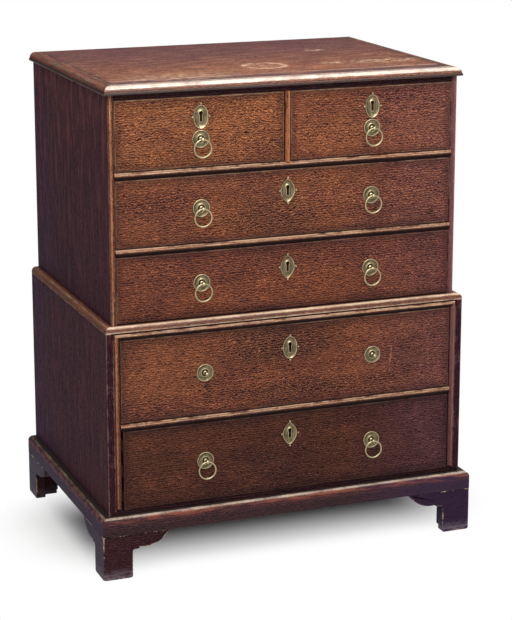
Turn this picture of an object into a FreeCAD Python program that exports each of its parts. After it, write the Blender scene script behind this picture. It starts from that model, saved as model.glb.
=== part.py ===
"""Chest on chest in oak, of small size.

An upper chest of two short and two long drawers stands inside the waist moulding of a lower chest
of two long drawers, which stands on a base moulding and bracket feet. Every drawer has a lock with
a sliding bolt, and five of the six have brass ring pulls.

Frame: +Z up, the front towards -Y, +X to the viewer's right, the origin on the floor in the middle
of the plan. Millimetres.
"""
import FreeCAD
import Part
import Sketcher
import math
import os
import re
from collections import namedtuple

Vector = FreeCAD.Vector

# The driving dimensions, one name for each size that can be set by itself.
SIZES = {
    # Plan
    "upper_width": 730,
    "upper_depth": 530,
    "waist_step": 15,
    "base_step": 17.5,
    # Heights, from the floor up
    "foot_height": 90,
    "base_height": 36,
    "floor_rise": 44,
    "lower_floor_thick": 12,
    "fifth_height": 160,
    "fourth_height": 166.5,
    "lower_top_rail": 14,
    "upper_floor_thick": 13,
    "third_height": 130,
    "second_height": 132,
    "short_height": 136,
    "frieze_height": 11,
    "top_thick": 17,
    # Carcass boards
    "upper_side": 12,
    "lower_side": 15,
    "housing": 5,
    "rail_height": 15,
    "rail_depth": 60,
    "muntin_width": 12,
    "back_board": 9,
    "back_cheek": 6,
    "plank_gap": 0.6,
    "runner_width": 34,
    "guide_height": 22,
    "stop_inset": 60,
    "stop_width": 40,
    "stop_depth": 12,
    "stop_height": 4,
    # Half-round beads on the front edges
    "bead_margin": 0.75,
    "bead_rise": 4.5,
    "bead_foot_gap": 6,
    # Mouldings
    "top_inset": 13,
    "top_overhang": 9,
    "top_lip": 4.5,
    "top_quirk": 1.5,
    "top_round": 12,
    "waist_height": 12,
    "waist_round": 9.5,
    "base_round": 10,
    # Bracket feet
    "bracket_thick": 20,
    "bracket_run": 136,
    "leg_width": 60,
    "leg_height": 58.5,
    "leg_fillet": 5,
    "ledge_run": 14,
    "ledge_step": 4.5,
    "wing_radius": 57,
    "rear_bracket_thick": 16,
    "rear_bracket_run": 130,
    "block_size": 30,
    "block_lift": 2,
    # Drawers
    "drawer_gap": 1.2,
    "run_gap": 0.3,
    "rear_gap": 10,
    "shrink_gap": 3.5,
    "front_thick": 20,
    "drawer_side": 10,
    "drawer_back": 9,
    "drawer_floor": 7,
    "floor_lift": 5,
    "drawer_groove": 4,
    "side_drop": 3,
    "back_drop": 6,
    "dovetail_lap": 6,
    "dovetail_width": 21,
    "dovetail_flare": 2.4,
    # Ring pulls
    "plate_diameter": 35.5,
    "plate_edge": 0.8,
    "plate_centre": 1.2,
    "plate_rim": 2.6,
    "plate_rim_rise": 0.9,
    "plate_ring_radius": 8,
    "plate_ring_width": 2,
    "plate_ring_sink": 0.25,
    "collar_diameter": 8.4,
    "collar_thick": 1.4,
    "neck_diameter": 5,
    "ball_diameter": 8.6,
    "pull_reach": 12,
    "tang_diameter": 4,
    "tang_clearance": 0.3,
    "thread_clearance": 0.05,
    "tang_end": 2,
    "nut_width": 9,
    "nut_thick": 3,
    "ring_diameter": 38,
    "ring_wire": 3.4,
    "eye_clearance": 0.7,
    "pull_rise": 2,
    "short_pull_drop": 43,
    # Escutcheons and keyholes
    "scutcheon_width": 30,
    "scutcheon_height": 46,
    "scutcheon_thick": 1.1,
    "scutcheon_rim": 1.6,
    "rim_rise": 0.8,
    "keyhole_lip": 1.3,
    "finial_diameter": 4,
    "finial_neck": 1.8,
    "bow_diameter": 8,
    "bow_rise": 7,
    "slot_width": 5.2,
    "slot_drop": 9.5,
    "short_key_drop": 39,
    "second_key_drop": 42,
    "third_key_drop": 46,
    "fourth_key_drop": 48,
    "fifth_key_drop": 43,
    # Locks
    "lock_width": 56,
    "lock_depth": 16,
    "lock_below": 16,
    "flange_width": 11,
    "flange_thick": 2.5,
    "screw_head": 7,
    "screw_head_thick": 1.6,
    "screw_shank": 3,
    "screw_length": 13,
    "screw_fit": 0.3,
    "screw_inset": 6,
    "key_pocket": 8,
    "pin_diameter": 2.4,
    "pin_set": 4,
    "bolt_width": 16,
    "bolt_thick": 3.4,
    "bolt_length": 22,
    "bolt_wall": 1.6,
    "bolt_fit": 0.3,
    "mortise_fit": 0.8,
    "mortise_depth": 8,
}

# Lines and levels that follow from the driving dimensions.
DERIVED = {
    # Plan
    "upper_half": "upper_width / 2",
    "lower_half": "upper_half + waist_step",
    "base_half": "lower_half + base_step",
    "back": "(upper_depth + waist_step + base_step) / 2",
    "back_face": "back - back_board",
    "upper_front": "back - upper_depth",
    "lower_front": "upper_front - waist_step",
    "base_front": "lower_front - base_step",
    "opening_half": "upper_half - upper_side",
    "lower_inner": "lower_half - lower_side",
    "muntin_half": "muntin_width / 2",
    "pull_spread": "(opening_half + muntin_half) / 2",
    "drawer_end": "back_face - rear_gap",
    # Levels
    "lower_floor": "foot_height + floor_rise",
    "middle_rail_low": "lower_floor + fifth_height + 2 * drawer_gap",
    "middle_rail_top": "middle_rail_low + rail_height",
    "lower_ceiling": "middle_rail_top + fourth_height + 2 * drawer_gap",
    "lower_top": "lower_ceiling + lower_top_rail",
    "upper_floor": "lower_top + upper_floor_thick",
    "rail_two_low": "upper_floor + third_height + 2 * drawer_gap",
    "rail_two_top": "rail_two_low + rail_height",
    "rail_one_low": "rail_two_top + second_height + 2 * drawer_gap",
    "rail_one_top": "rail_one_low + rail_height",
    "frieze_low": "rail_one_top + short_height + 2 * drawer_gap",
    "upper_top": "frieze_low + frieze_height",
    # Fits
    "stile_bead": "upper_side - 2 * bead_margin",
    "rail_bead": "rail_height - 2 * bead_margin",
    "muntin_bead": "muntin_width - 2 * bead_margin",
    "bead_inner": "opening_half + bead_margin",
    "bead_outer": "upper_half - bead_margin",
    "top_half": "upper_half - top_inset",
    "top_front": "upper_front + top_inset",
    "top_reach": "top_inset + top_overhang",
    "ring_radius": "(ring_diameter - ring_wire) / 2",
    "eye_radius": "ring_wire / 2 + eye_clearance",
    "tang_hole": "tang_diameter / 2 + tang_clearance",
    "wing_start": "leg_width + ledge_run",
    "wing_low": "leg_height + ledge_step",
    "bolt_back": "key_pocket + bolt_wall",
}

# One row for each drawer: its opening, the face it lies in, and its brasses.
Drawer = namedtuple("Drawer", "name left right floor height face key_drop pulls ringed short shrink")
DRAWERS = (
    Drawer("short_left", "-opening_half", "-muntin_half", "rail_one_top", "short_height", "upper_front",
           "short_key_drop", {"": "0"}, True, True, "0"),
    Drawer("short_right", "muntin_half", "opening_half", "rail_one_top", "short_height", "upper_front",
           "short_key_drop", {"": "0"}, True, True, "0"),
    Drawer("second", "-opening_half", "opening_half", "rail_two_top", "second_height", "upper_front",
           "second_key_drop", {"_left": "-pull_spread", "_right": "pull_spread"}, True, False, "0"),
    Drawer("third", "-opening_half", "opening_half", "upper_floor", "third_height", "upper_front",
           "third_key_drop", {"_left": "-pull_spread", "_right": "pull_spread"}, True, False, "0"),
    Drawer("fourth", "-opening_half", "opening_half", "middle_rail_top", "fourth_height", "lower_front",
           "fourth_key_drop", {"_left": "-pull_spread", "_right": "pull_spread"}, False, False, "0"),
    Drawer("fifth", "-opening_half", "opening_half", "lower_floor", "fifth_height", "lower_front",
           "fifth_key_drop", {"_left": "-pull_spread", "_right": "pull_spread"}, True, False, "shrink_gap"),
)

# The planes and centres that one drawer's pieces share.
Lines = namedtuple("Lines", "name left right middle low high inside key_z pull_z")

# Counts of tails on a drawer side and of boards in a back, and how far a cutting shape passes a face.
DOVETAILS = 3
PLANKS = 3
SPARE = 5

doc = FreeCAD.newDocument("chest_on_chest")
sheet = doc.addObject("Spreadsheet::Sheet", "Sizes")
for row, (size_name, size) in enumerate(SIZES.items(), start=1):
    sheet.set(f"A{row}", size_name)
    sheet.set(f"B{row}", str(size))
    sheet.setAlias(f"B{row}", size_name)
doc.recompute()

nodes = []


def formula(text):
    """The text as an expression: size names become cells, derived names are spelled out."""
    def spelled(match):
        word = match.group(0)
        if word in SIZES:
            return "Sizes." + word
        if word in DERIVED:
            return "(" + formula(DERIVED[word]) + ")"
        return word
    return re.sub(r"[a-z][a-z_]+", spelled, text)


def value(text):
    """The number that a formula gives now."""
    return float(sheet.evalExpression(formula(text)))


def place(thing, x, y, z):
    """Binds the place of a thing to three formulas."""
    for axis, text in (("x", x), ("y", y), ("z", z)):
        thing.setExpression("Placement.Base." + axis, formula(text))


def board(name, x, y, z):
    """A squared board between the low and high formulas of each axis."""
    box = doc.addObject("Part::Box", name)
    for size_name, (low, high) in zip(("Length", "Width", "Height"), (x, y, z)):
        box.setExpression(size_name, formula(f"({high}) - ({low})"))
    place(box, x[0], y[0], z[0])
    return box


def rod(name, axis, x, y, z, radius, length):
    """A round rod that starts at a point and runs along +X, +Y or +Z."""
    cylinder = doc.addObject("Part::Cylinder", name)
    cylinder.Placement.Rotation = FreeCAD.Rotation(Vector(0, 0, 1), Vector(*axis))
    cylinder.setExpression("Radius", formula(radius))
    cylinder.setExpression("Height", formula(length))
    place(cylinder, x, y, z)
    return cylinder


def group(name, pieces):
    """Separate solids kept together under one name."""
    compound = doc.addObject("Part::Compound", name)
    compound.Links = pieces
    return compound


def cut(name, base, tools):
    """The base with the tools taken out of it."""
    piece = doc.addObject("Part::Cut", name)
    piece.Base = base
    piece.Tool = tools[0] if len(tools) == 1 else group(name + "_tools", tools)
    return piece


def fuse(name, pieces):
    """One solid from several that meet."""
    piece = doc.addObject("Part::MultiFuse", name)
    piece.Shapes = pieces
    return piece


def mirrored(name, source):
    """The same piece on the other side of the middle plane."""
    piece = doc.addObject("Part::Mirroring", name)
    piece.Source = source
    piece.Normal = Vector(1, 0, 0)
    return piece


def copy_at(name, source, x, y, z):
    """A like piece in another place."""
    link = doc.addObject("App::Link", name)
    link.LinkedObject = source
    place(link, x, y, z)
    return link


def node(piece, label):
    """Names a finished sub-part."""
    piece.Label = label
    nodes.append(piece)


def sketch_on(body, role, name):
    """A sketch on one of the body's own origin planes."""
    plane = next(feature for feature in body.Origin.OriginFeatures if feature.Role == role)
    sketch = body.newObject("Sketcher::SketchObject", name)
    sketch.AttachmentSupport = [(plane, "")]
    sketch.MapMode = "FlatFace"
    return sketch


def pin_point(sketch, edge, end, x, y):
    """Ties one point of a sketch to its formulas; None leaves a direction free."""
    for kind, text in (("DistanceX", x), ("DistanceY", y)):
        if text is not None:
            index = sketch.addConstraint(Sketcher.Constraint(kind, -1, 1, edge, end, value(text)))
            sketch.setExpression(f"Constraints[{index}]", formula(text))


def draw(sketch, outline):
    """A closed outline of (x, y) corners; a third item makes the edge that follows an arc about it."""
    first = sketch.GeometryCount
    corners = [Vector(value(corner[0]), value(corner[1])) for corner in outline]
    ends = []
    for index, corner in enumerate(outline):
        start = corners[index]
        stop = corners[(index + 1) % len(corners)]
        if len(corner) == 2:
            sketch.addGeometry(Part.LineSegment(start, stop), False)
            ends.append((1, 2))
            continue
        centre = Vector(value(corner[2][0]), value(corner[2][1]))
        left_turn = (start - centre).cross(stop - centre).z > 0
        low, high = (start, stop) if left_turn else (stop, start)
        angles = [math.atan2(point.y - centre.y, point.x - centre.x) for point in (low, high)]
        circle = Part.Circle(centre, Vector(0, 0, 1), (start - centre).Length)
        sketch.addGeometry(Part.ArcOfCircle(circle, *angles), False)
        ends.append((1, 2) if left_turn else (2, 1))
    for index, corner in enumerate(outline):
        edge = first + index
        before = (index - 1) % len(outline)
        sketch.addConstraint(
            Sketcher.Constraint("Coincident", edge, ends[index][0], first + before, ends[before][1]))
        pin_point(sketch, edge, ends[index][0], corner[0], corner[1])
        if len(corner) == 3:
            span = corners[(index + 1) % len(corners)] - corners[index]
            wide = abs(span.x) > abs(span.y)
            pin_point(sketch, edge, 3, None if wide else corner[2][0], corner[2][1] if wide else None)


def bar(name, role, outline, start, length):
    """A body of one section, from start along +X, +Y or +Z for the given length."""
    body = doc.addObject("PartDesign::Body", name)
    sketch = sketch_on(body, role, name + "_section")
    facing_back = role == "XZ_Plane"
    offset = f"-({start})" if facing_back else start
    sketch.setExpression("AttachmentOffset.Base.z", formula(offset))
    draw(sketch, outline)
    pad = body.newObject("PartDesign::Pad", name + "_pad")
    pad.Profile = sketch
    pad.Reversed = facing_back
    pad.setExpression("Length", formula(length))
    return body


def turned(name, outline):
    """A body turned about the Y axis from an outline of (radius, y) corners."""
    body = doc.addObject("PartDesign::Body", name)
    sketch = sketch_on(body, "XY_Plane", name + "_section")
    draw(sketch, outline)
    turn = body.newObject("PartDesign::Revolution", name + "_turn")
    turn.Profile = sketch
    turn.ReferenceAxis = (sketch, ["V_Axis"])
    turn.Angle = 360
    return body


def trim(body, role, outlines):
    """Cuts outlines drawn on an origin plane right through a body that lies in front of it."""
    sketch = sketch_on(body, role, body.Name + "_trim")
    for outline in outlines:
        draw(sketch, outline)
    pocket = body.newObject("PartDesign::Pocket", body.Name + "_pocket")
    pocket.Profile = sketch
    pocket.Type = "ThroughAll"
    pocket.Reversed = True


def section_at(section, place_point):
    """A moulding's (out, up) section carried to the plane that it is drawn on."""
    placed = []
    for corner in section:
        points = [place_point(*corner[:2])]
        if len(corner) == 3:
            points.append(place_point(*corner[2]))
        placed.append(points[0] if len(points) == 1 else (*points[0], points[1]))
    return placed


def moulding(name, section, half, front, low, reach):
    """A front run and two side runs mitred at the front corners, planted on a case."""
    spare = f"({reach} + {SPARE})"
    front_run = bar(
        name + "_front", "YZ_Plane",
        section_at(section, lambda out, up: (f"{front} - ({out})", f"{low} + {up}")),
        f"-{half} - ({reach})", f"2 * ({half} + {reach})")
    right_waste = ((half, front), (f"{half} + {spare}", front), (f"{half} + {spare}", f"{front} - {spare}"))
    left_waste = [(f"-({x})", y) for x, y in right_waste]
    trim(front_run, "XY_Plane", (right_waste, left_waste))
    right_run = bar(
        name + "_right", "XZ_Plane",
        section_at(section, lambda out, up: (f"{half} + {out}", f"{low} + {up}")),
        f"{front} - ({reach})", f"back - {front} + {reach}")
    front_waste = ((half, front), (half, f"{front} - {spare}"), (f"{half} + {spare}", f"{front} - {spare}"))
    trim(right_run, "XY_Plane", (front_waste,))
    node(group(name, [front_run, right_run, mirrored(name + "_left", right_run)]), name)


def planks(name, half, low, high):
    """Upright boards side by side across the back."""
    pitch = f"(2 * ({half}) + plank_gap) / {PLANKS}"
    boards = []
    for index in range(PLANKS):
        left = f"-({half}) + {index} * {pitch}"
        boards.append(board(f"{name}_{index}", (left, f"{left} + {pitch} - plank_gap"),
                            ("back_face", "back"), (low, high)))
    node(group(name, boards), name)


def bead_section(face, middle, width, along_z):
    """A half-round bead on the face plane, as an outline of a plan or of an end view."""
    radius = f"(({width}) * ({width}) / 4 + bead_rise * bead_rise) / (2 * bead_rise)"
    low = (f"{middle} - ({width}) / 2", face)
    high = (f"{middle} + ({width}) / 2", face)
    centre = (middle, f"{face} - bead_rise + {radius}")
    if along_z:
        return [(*low, centre), high]
    return [(low[1], low[0], (centre[1], centre[0])), (high[1], high[0])]


def mortise(name, middle, face, low):
    """The slot above a lock that its bolt enters."""
    front = f"{face} + front_thick + bolt_back - mortise_fit"
    return board(name,
                 (f"{middle} - bolt_width / 2 - mortise_fit", f"{middle} + bolt_width / 2 + mortise_fit"),
                 (front, f"{front} + bolt_thick + 2 * mortise_fit"),
                 (f"{low} - {SPARE}", f"{low} + mortise_depth"))


def stops(drawer):
    """Two blocks under a drawer's bottom that its front comes to rest against."""
    front = f"{drawer.face} + front_thick + run_gap"
    left = f"{drawer.left} + stop_inset"
    right = f"{drawer.right} - stop_inset"
    y = (front, f"{front} + stop_depth")
    z = (drawer.floor, f"{drawer.floor} + stop_height")
    return [board(f"stop_{drawer.name}_left", (left, f"{left} + stop_width"), y, z),
            board(f"stop_{drawer.name}_right", (f"{right} - stop_width", right), y, z)]


def stops_behind(face):
    """The stops of every drawer whose front lies in the given face."""
    return [stop for drawer in DRAWERS if drawer.face == face for stop in stops(drawer)]


def upper_chest():
    """Sides, floor, rails, runners and back of the upper chest."""
    across = ("-opening_half - housing", "opening_half + housing")
    rail_y = ("upper_front", "upper_front + rail_depth")
    behind = ("upper_front + rail_depth", "back_face")
    floor = board("upper_bottom", across, ("upper_front", "back_face"), ("lower_top", "upper_floor"))
    node(floor, "upper_bottom")

    frieze = board("frieze_rail", across, rail_y, ("frieze_low", "upper_top"))
    rail_one = board("rail_one", across, rail_y, ("rail_one_low", "rail_one_top"))
    rail_two = board("rail_two", across, rail_y, ("rail_two_low", "rail_two_top"))
    muntin = board("muntin", ("-muntin_half", "muntin_half"), rail_y, ("rail_one_top", "frieze_low"))
    short_mortises = [mortise("mortise_short_left", "-pull_spread", "upper_front", "frieze_low"),
                      mortise("mortise_short_right", "pull_spread", "upper_front", "frieze_low")]
    frame = [
        cut("frieze_rail_cut", frieze, short_mortises),
        cut("rail_one_cut", rail_one, [mortise("mortise_second", "0", "upper_front", "rail_one_low")]),
        cut("rail_two_cut", rail_two, [mortise("mortise_third", "0", "upper_front", "rail_two_low")]),
        muntin,
    ]
    node(group("upper_front_frame", frame), "upper_front_frame")

    side = board("upper_side_board", ("opening_half", "upper_half"), ("upper_front", "back"),
                 ("lower_top", "upper_top"))
    rebate = board("upper_rebate", ("opening_half", "upper_half - back_cheek"), ("back_face", "back"),
                   ("lower_top", "upper_top"))
    right_side = cut("upper_side_right", side, [floor, frieze, rail_one, rail_two, rebate])
    node(group("upper_sides", [right_side, mirrored("upper_side_left", right_side)]), "upper_sides")
    planks("upper_back", "upper_half - back_cheek", "lower_top", "upper_top")

    runners = []
    for level in ("one", "two"):
        right = board(f"runner_{level}_right", ("opening_half - runner_width", "opening_half"), behind,
                      (f"rail_{level}_low", f"rail_{level}_top"))
        runners += [right, mirrored(f"runner_{level}_left", right)]
    runners.append(board("runner_middle", ("-runner_width", "runner_width"), behind,
                         ("rail_one_low", "rail_one_top")))
    runners.append(board("guide_middle", ("-muntin_half", "muntin_half"), behind,
                         ("rail_one_top", "rail_one_top + guide_height")))
    node(group("upper_runners", runners + stops_behind("upper_front")), "upper_runners")


def lower_chest():
    """Sides, floor, front frame, runners and back of the lower chest."""
    across = ("-lower_inner - housing", "lower_inner + housing")
    rail_y = ("lower_front", "lower_front + rail_depth")
    behind = ("lower_front + rail_depth", "back_face")
    floor = board("lower_bottom", across, ("lower_front", "back_face"),
                  ("lower_floor - lower_floor_thick", "lower_floor"))
    node(floor, "lower_bottom")

    top_rail = board("lower_top_board", across, rail_y, ("lower_ceiling", "lower_top"))
    middle_rail = board("middle_rail", ("-opening_half", "opening_half"), rail_y,
                        ("middle_rail_low", "middle_rail_top"))
    base_rail = board("base_rail", ("-lower_inner", "lower_inner"), rail_y,
                      ("foot_height", "lower_floor - lower_floor_thick"))
    right_stile = board("stile_right", ("opening_half", "lower_inner"), rail_y,
                        ("lower_floor", "lower_ceiling"))
    fourth_mortise = mortise("mortise_fourth", "0", "lower_front", "lower_ceiling")
    fifth_mortise = mortise("mortise_fifth", "0", "lower_front", "middle_rail_low")
    frame = [
        cut("lower_top_rail_cut", top_rail, [fourth_mortise]),
        cut("middle_rail_cut", middle_rail, [fifth_mortise]),
        base_rail,
        right_stile,
        mirrored("stile_left", right_stile),
    ]
    node(group("lower_front_frame", frame), "lower_front_frame")

    side = board("lower_side_board", ("lower_inner", "lower_half"), ("lower_front", "back"),
                 ("foot_height", "lower_top"))
    rebate = board("lower_rebate", ("lower_inner", "lower_half - back_cheek"), ("back_face", "back"),
                   ("foot_height", "lower_top"))
    right_side = cut("lower_side_right", side, [floor, top_rail, rebate])
    node(group("lower_sides", [right_side, mirrored("lower_side_left", right_side)]), "lower_sides")
    planks("lower_back", "lower_half - back_cheek", "foot_height", "lower_top")

    bearing = ("opening_half - runner_width", "lower_inner")
    right_pieces = [
        board("runner_fourth_right", bearing, behind, ("middle_rail_low", "middle_rail_top")),
        board("bearer_right", bearing, behind, ("lower_ceiling", "lower_top")),
        board("guide_fourth_right", ("opening_half", "lower_inner"), behind,
              ("middle_rail_top", "middle_rail_top + guide_height")),
        board("guide_fifth_right", ("opening_half", "lower_inner"), behind,
              ("lower_floor", "lower_floor + guide_height")),
    ]
    left_pieces = [mirrored(piece.Name.replace("right", "left"), piece) for piece in right_pieces]
    back_bearer = board("bearer_back", ("-opening_half + runner_width", "opening_half - runner_width"),
                        ("back_face - runner_width", "back_face"), ("lower_ceiling", "lower_top"))
    pieces = right_pieces + left_pieces + [back_bearer] + stops_behind("lower_front")
    node(group("lower_runners", pieces), "lower_runners")


def beads():
    """Half-round beads planted on the front edges, butted above and mitred at the lower top corners."""
    stile_middle = "opening_half + upper_side / 2"
    upper_stile = bar("upper_stile_bead_right", "XY_Plane",
                      bead_section("upper_front", stile_middle, "stile_bead", True),
                      "lower_top + waist_height", "upper_top - lower_top - waist_height")
    pieces = [upper_stile, mirrored("upper_stile_bead_left", upper_stile)]
    rails = (("one", "upper_front"), ("two", "upper_front"), ("middle", "lower_front"))
    for rail, face in rails:
        low = "middle_rail_low" if rail == "middle" else f"rail_{rail}_low"
        pieces.append(bar(f"{rail}_rail_bead", "YZ_Plane",
                          bead_section(face, f"{low} + rail_height / 2", "rail_bead", False),
                          "-bead_inner", "2 * bead_inner"))
    pieces.append(bar("muntin_bead", "XY_Plane", bead_section("upper_front", "0", "muntin_bead", True),
                      "rail_one_top - bead_margin", "frieze_low - rail_one_top + bead_margin"))

    # The lower frame's beads are one width, so that they mitre at forty-five degrees.
    bead_low = "lower_ceiling + bead_margin"
    bead_top = f"{bead_low} + stile_bead"
    top_bead = bar("lower_top_bead", "YZ_Plane",
                   bead_section("lower_front", f"{bead_low} + stile_bead / 2", "stile_bead", False),
                   "-bead_outer", "2 * bead_outer")
    far = f"bead_inner + stile_bead + {SPARE}"
    above = f"{bead_top} + {SPARE}"
    below_mitre = (("bead_inner", bead_low), (far, above), (far, bead_low))
    trim(top_bead, "XZ_Plane", (below_mitre, [(f"-({x})", z) for x, z in below_mitre]))
    stile_foot = "lower_floor + bead_foot_gap"
    lower_stile = bar("lower_stile_bead_right", "XY_Plane",
                      bead_section("lower_front", stile_middle, "stile_bead", True),
                      stile_foot, f"{bead_top} - ({stile_foot})")
    trim(lower_stile, "XZ_Plane", ((("bead_inner", bead_low), (far, above), ("bead_inner", above)),))
    pieces += [top_bead, lower_stile, mirrored("lower_stile_bead_left", lower_stile)]
    node(group("front_beads", pieces), "front_beads")


def top():
    """The top board and the thumb moulding round its front and sides."""
    node(board("top_board", ("-top_half", "top_half"), ("top_front", "back"),
               ("upper_top", "upper_top + top_thick")), "top_board")
    shoulder = "top_reach - top_quirk"
    section = (
        ("0", "0"),
        ("top_reach", "0"),
        ("top_reach", "top_lip"),
        (shoulder, "top_lip", (f"{shoulder} - top_round", "top_thick - top_round")),
        (f"{shoulder} - top_round", "top_thick"),
        ("0", "top_thick"),
    )
    moulding("top_moulding", section, "top_half", "top_front", "upper_top", "top_reach")


def rounded_section(step, height, radius):
    """An (out, up) moulding section with a quarter round on its upper outer edge."""
    inner = f"{step} - {radius}"
    shoulder = f"{height} - {radius}"
    return [("0", "0"), (step, "0"), (step, shoulder, (inner, shoulder)), (inner, height), ("0", height)]


def waist_and_base():
    """The waist moulding that the upper chest stands in, and the base moulding under the lower chest."""
    waist = rounded_section("waist_step", "waist_height", "waist_round")
    moulding("waist_moulding", waist, "upper_half", "upper_front", "lower_top", "waist_step")
    base = rounded_section("base_step", "base_height", "base_round")
    moulding("base_moulding", base, "lower_half", "lower_front", "foot_height", "base_step")


def bracket_outline(across):
    """A bracket foot's face, with across giving the formula at a distance from the outer corner."""
    wing_x = "(bracket_run - wing_start)"
    wing_z = "(foot_height - wing_low)"
    chord = f"sqrt({wing_x} * {wing_x} + {wing_z} * {wing_z})"
    rise = f"sqrt(wing_radius * wing_radius - {chord} * {chord} / 4)"
    centre_x = f"(wing_start + bracket_run) / 2 - {rise} * {wing_z} / {chord}"
    centre_z = f"(wing_low + foot_height) / 2 + {rise} * {wing_x} / {chord}"
    return [
        (across("0"), "0"),
        (across("leg_width"), "0"),
        (across("leg_width"), "leg_height - leg_fillet",
         (across("leg_width + leg_fillet"), "leg_height - leg_fillet")),
        (across("leg_width + leg_fillet"), "leg_height"),
        (across("wing_start"), "leg_height"),
        (across("wing_start"), "wing_low", (across(centre_x), centre_z)),
        (across("bracket_run"), "foot_height"),
        (across("0"), "foot_height"),
    ]


def feet():
    """Mitred bracket feet in front, side and rear brackets behind, and a glue block in each corner."""
    inner_x = "base_half - bracket_thick"
    inner_y = "base_front + bracket_thick"
    corner = ("base_half", "base_front")
    heel = (inner_x, inner_y)
    front = bar("front_bracket", "XZ_Plane", bracket_outline(lambda run: f"base_half - ({run})"),
                "base_front", "bracket_thick")
    trim(front, "XY_Plane", ((corner, ("base_half", inner_y), heel),))
    side = bar("side_bracket", "YZ_Plane", bracket_outline(lambda run: f"base_front + {run}"),
               inner_x, "bracket_thick")
    trim(side, "XY_Plane", ((corner, (inner_x, "base_front"), heel),))
    rear_side = bar("rear_side_bracket", "YZ_Plane", bracket_outline(lambda run: f"back - ({run})"),
                    inner_x, "bracket_thick")
    rear_outline = [
        (inner_x, "0"),
        ("base_half - leg_width", "0"),
        ("base_half - leg_width", "leg_height"),
        ("base_half - rear_bracket_run", "foot_height"),
        (inner_x, "foot_height"),
    ]
    rear = bar("rear_bracket", "XZ_Plane", rear_outline, "back - rear_bracket_thick", "rear_bracket_thick")
    block_x = (f"{inner_x} - block_size", inner_x)
    block_z = ("block_lift", "foot_height")
    front_block = board("front_block", block_x, (inner_y, f"{inner_y} + block_size"), block_z)
    rear_face = "back - rear_bracket_thick"
    rear_block = board("rear_block", block_x, (f"{rear_face} - block_size", rear_face), block_z)
    right = [front, side, rear_side, rear, front_block, rear_block]
    left = [mirrored(piece.Name + "_left", piece) for piece in right]
    node(group("bracket_feet", right + left), "bracket_feet")


def keyhole(name, spread, start, length):
    """A keyhole-shaped bar along +Y, its plate's centre on the Y axis, grown all round by spread."""
    bow = f"(bow_diameter / 2 + {spread})"
    half = f"(slot_width / 2 + {spread})"
    bottom = f"-slot_drop - {spread}"
    neck = f"bow_rise - sqrt({bow} * {bow} - {half} * {half})"
    centre = ("0", "bow_rise")
    crown = f"bow_rise + {bow}"
    outline = [
        (f"-{half}", bottom),
        (half, bottom),
        (half, neck, centre),
        (bow, "bow_rise", centre),
        ("0", crown, centre),
        (f"-{bow}", "bow_rise", centre),
        (f"-{half}", neck),
    ]
    return bar(name, "XZ_Plane", outline, start, length)


def oval(name, inset, start, length):
    """An upright oval slab, from start towards -Y, smaller all round than the plate by inset."""
    ellipse = doc.addObject("Part::Ellipse", name + "_edge")
    ellipse.Placement.Rotation = FreeCAD.Rotation(
        Vector(0, 0, 1), Vector(-1, 0, 0), Vector(0, -1, 0), "ZXY")
    ellipse.setExpression("MajorRadius", formula(f"scutcheon_height / 2 - {inset}"))
    ellipse.setExpression("MinorRadius", formula(f"scutcheon_width / 2 - {inset}"))
    place(ellipse, "0", start, "0")
    slab = doc.addObject("Part::Extrusion", name)
    slab.Base = ellipse
    slab.DirMode = "Custom"
    slab.Dir = Vector(0, -1, 0)
    slab.Solid = True
    slab.setExpression("LengthFwd", formula(length))
    return slab


def scutcheon(name, sides):
    """A rimmed oval keyhole plate with a lip round the keyhole and ball finials on the given sides."""
    full = "scutcheon_thick + rim_rise"
    dish = cut(name + "_dish", oval(name + "_plate", "0", "0", full),
               [oval(name + "_well", "scutcheon_rim", "-scutcheon_thick", f"rim_rise + {SPARE}")])
    pieces = [dish, keyhole(name + "_lip", "keyhole_lip", f"-({full})", full)]
    for side, (x, z) in sides.items():
        ball = doc.addObject("Part::Sphere", f"{name}_{side}_ball")
        ball.setExpression("Radius", formula("finial_diameter / 2"))
        reach = "finial_diameter / 2 + finial_neck / 4"
        place(ball, f"{x} * (scutcheon_width / 2 + {reach})", "-finial_diameter / 2",
              f"{z} * (scutcheon_height / 2 + {reach})")
        neck_x = f"{x} * (scutcheon_width / 2)"
        neck_z = f"{z} * (scutcheon_height / 2)"
        neck = board(f"{name}_{side}_neck",
                     (f"{neck_x} - finial_neck / 2", f"{neck_x} + finial_neck / 2"),
                     ("-scutcheon_thick", "0"),
                     (f"{neck_z} - finial_neck / 2", f"{neck_z} + finial_neck / 2"))
        pieces += [ball, neck]
    hole = keyhole(name + "_hole", "0", f"-{SPARE}", f"2 * {SPARE}")
    return cut(name, fuse(name + "_whole", pieces), [hole])


def lock_screw():
    """One pointed screw about the Y axis, with the underside of its head at zero."""
    shank = "screw_shank / 2"
    head = "screw_head / 2"
    return turned("lock_screw", [
        ("0", "-screw_length"),
        (shank, "-screw_length + screw_shank"),
        (shank, "0"),
        (head, "0"),
        (head, "screw_head_thick"),
        ("0", "screw_head_thick"),
    ])


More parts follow.
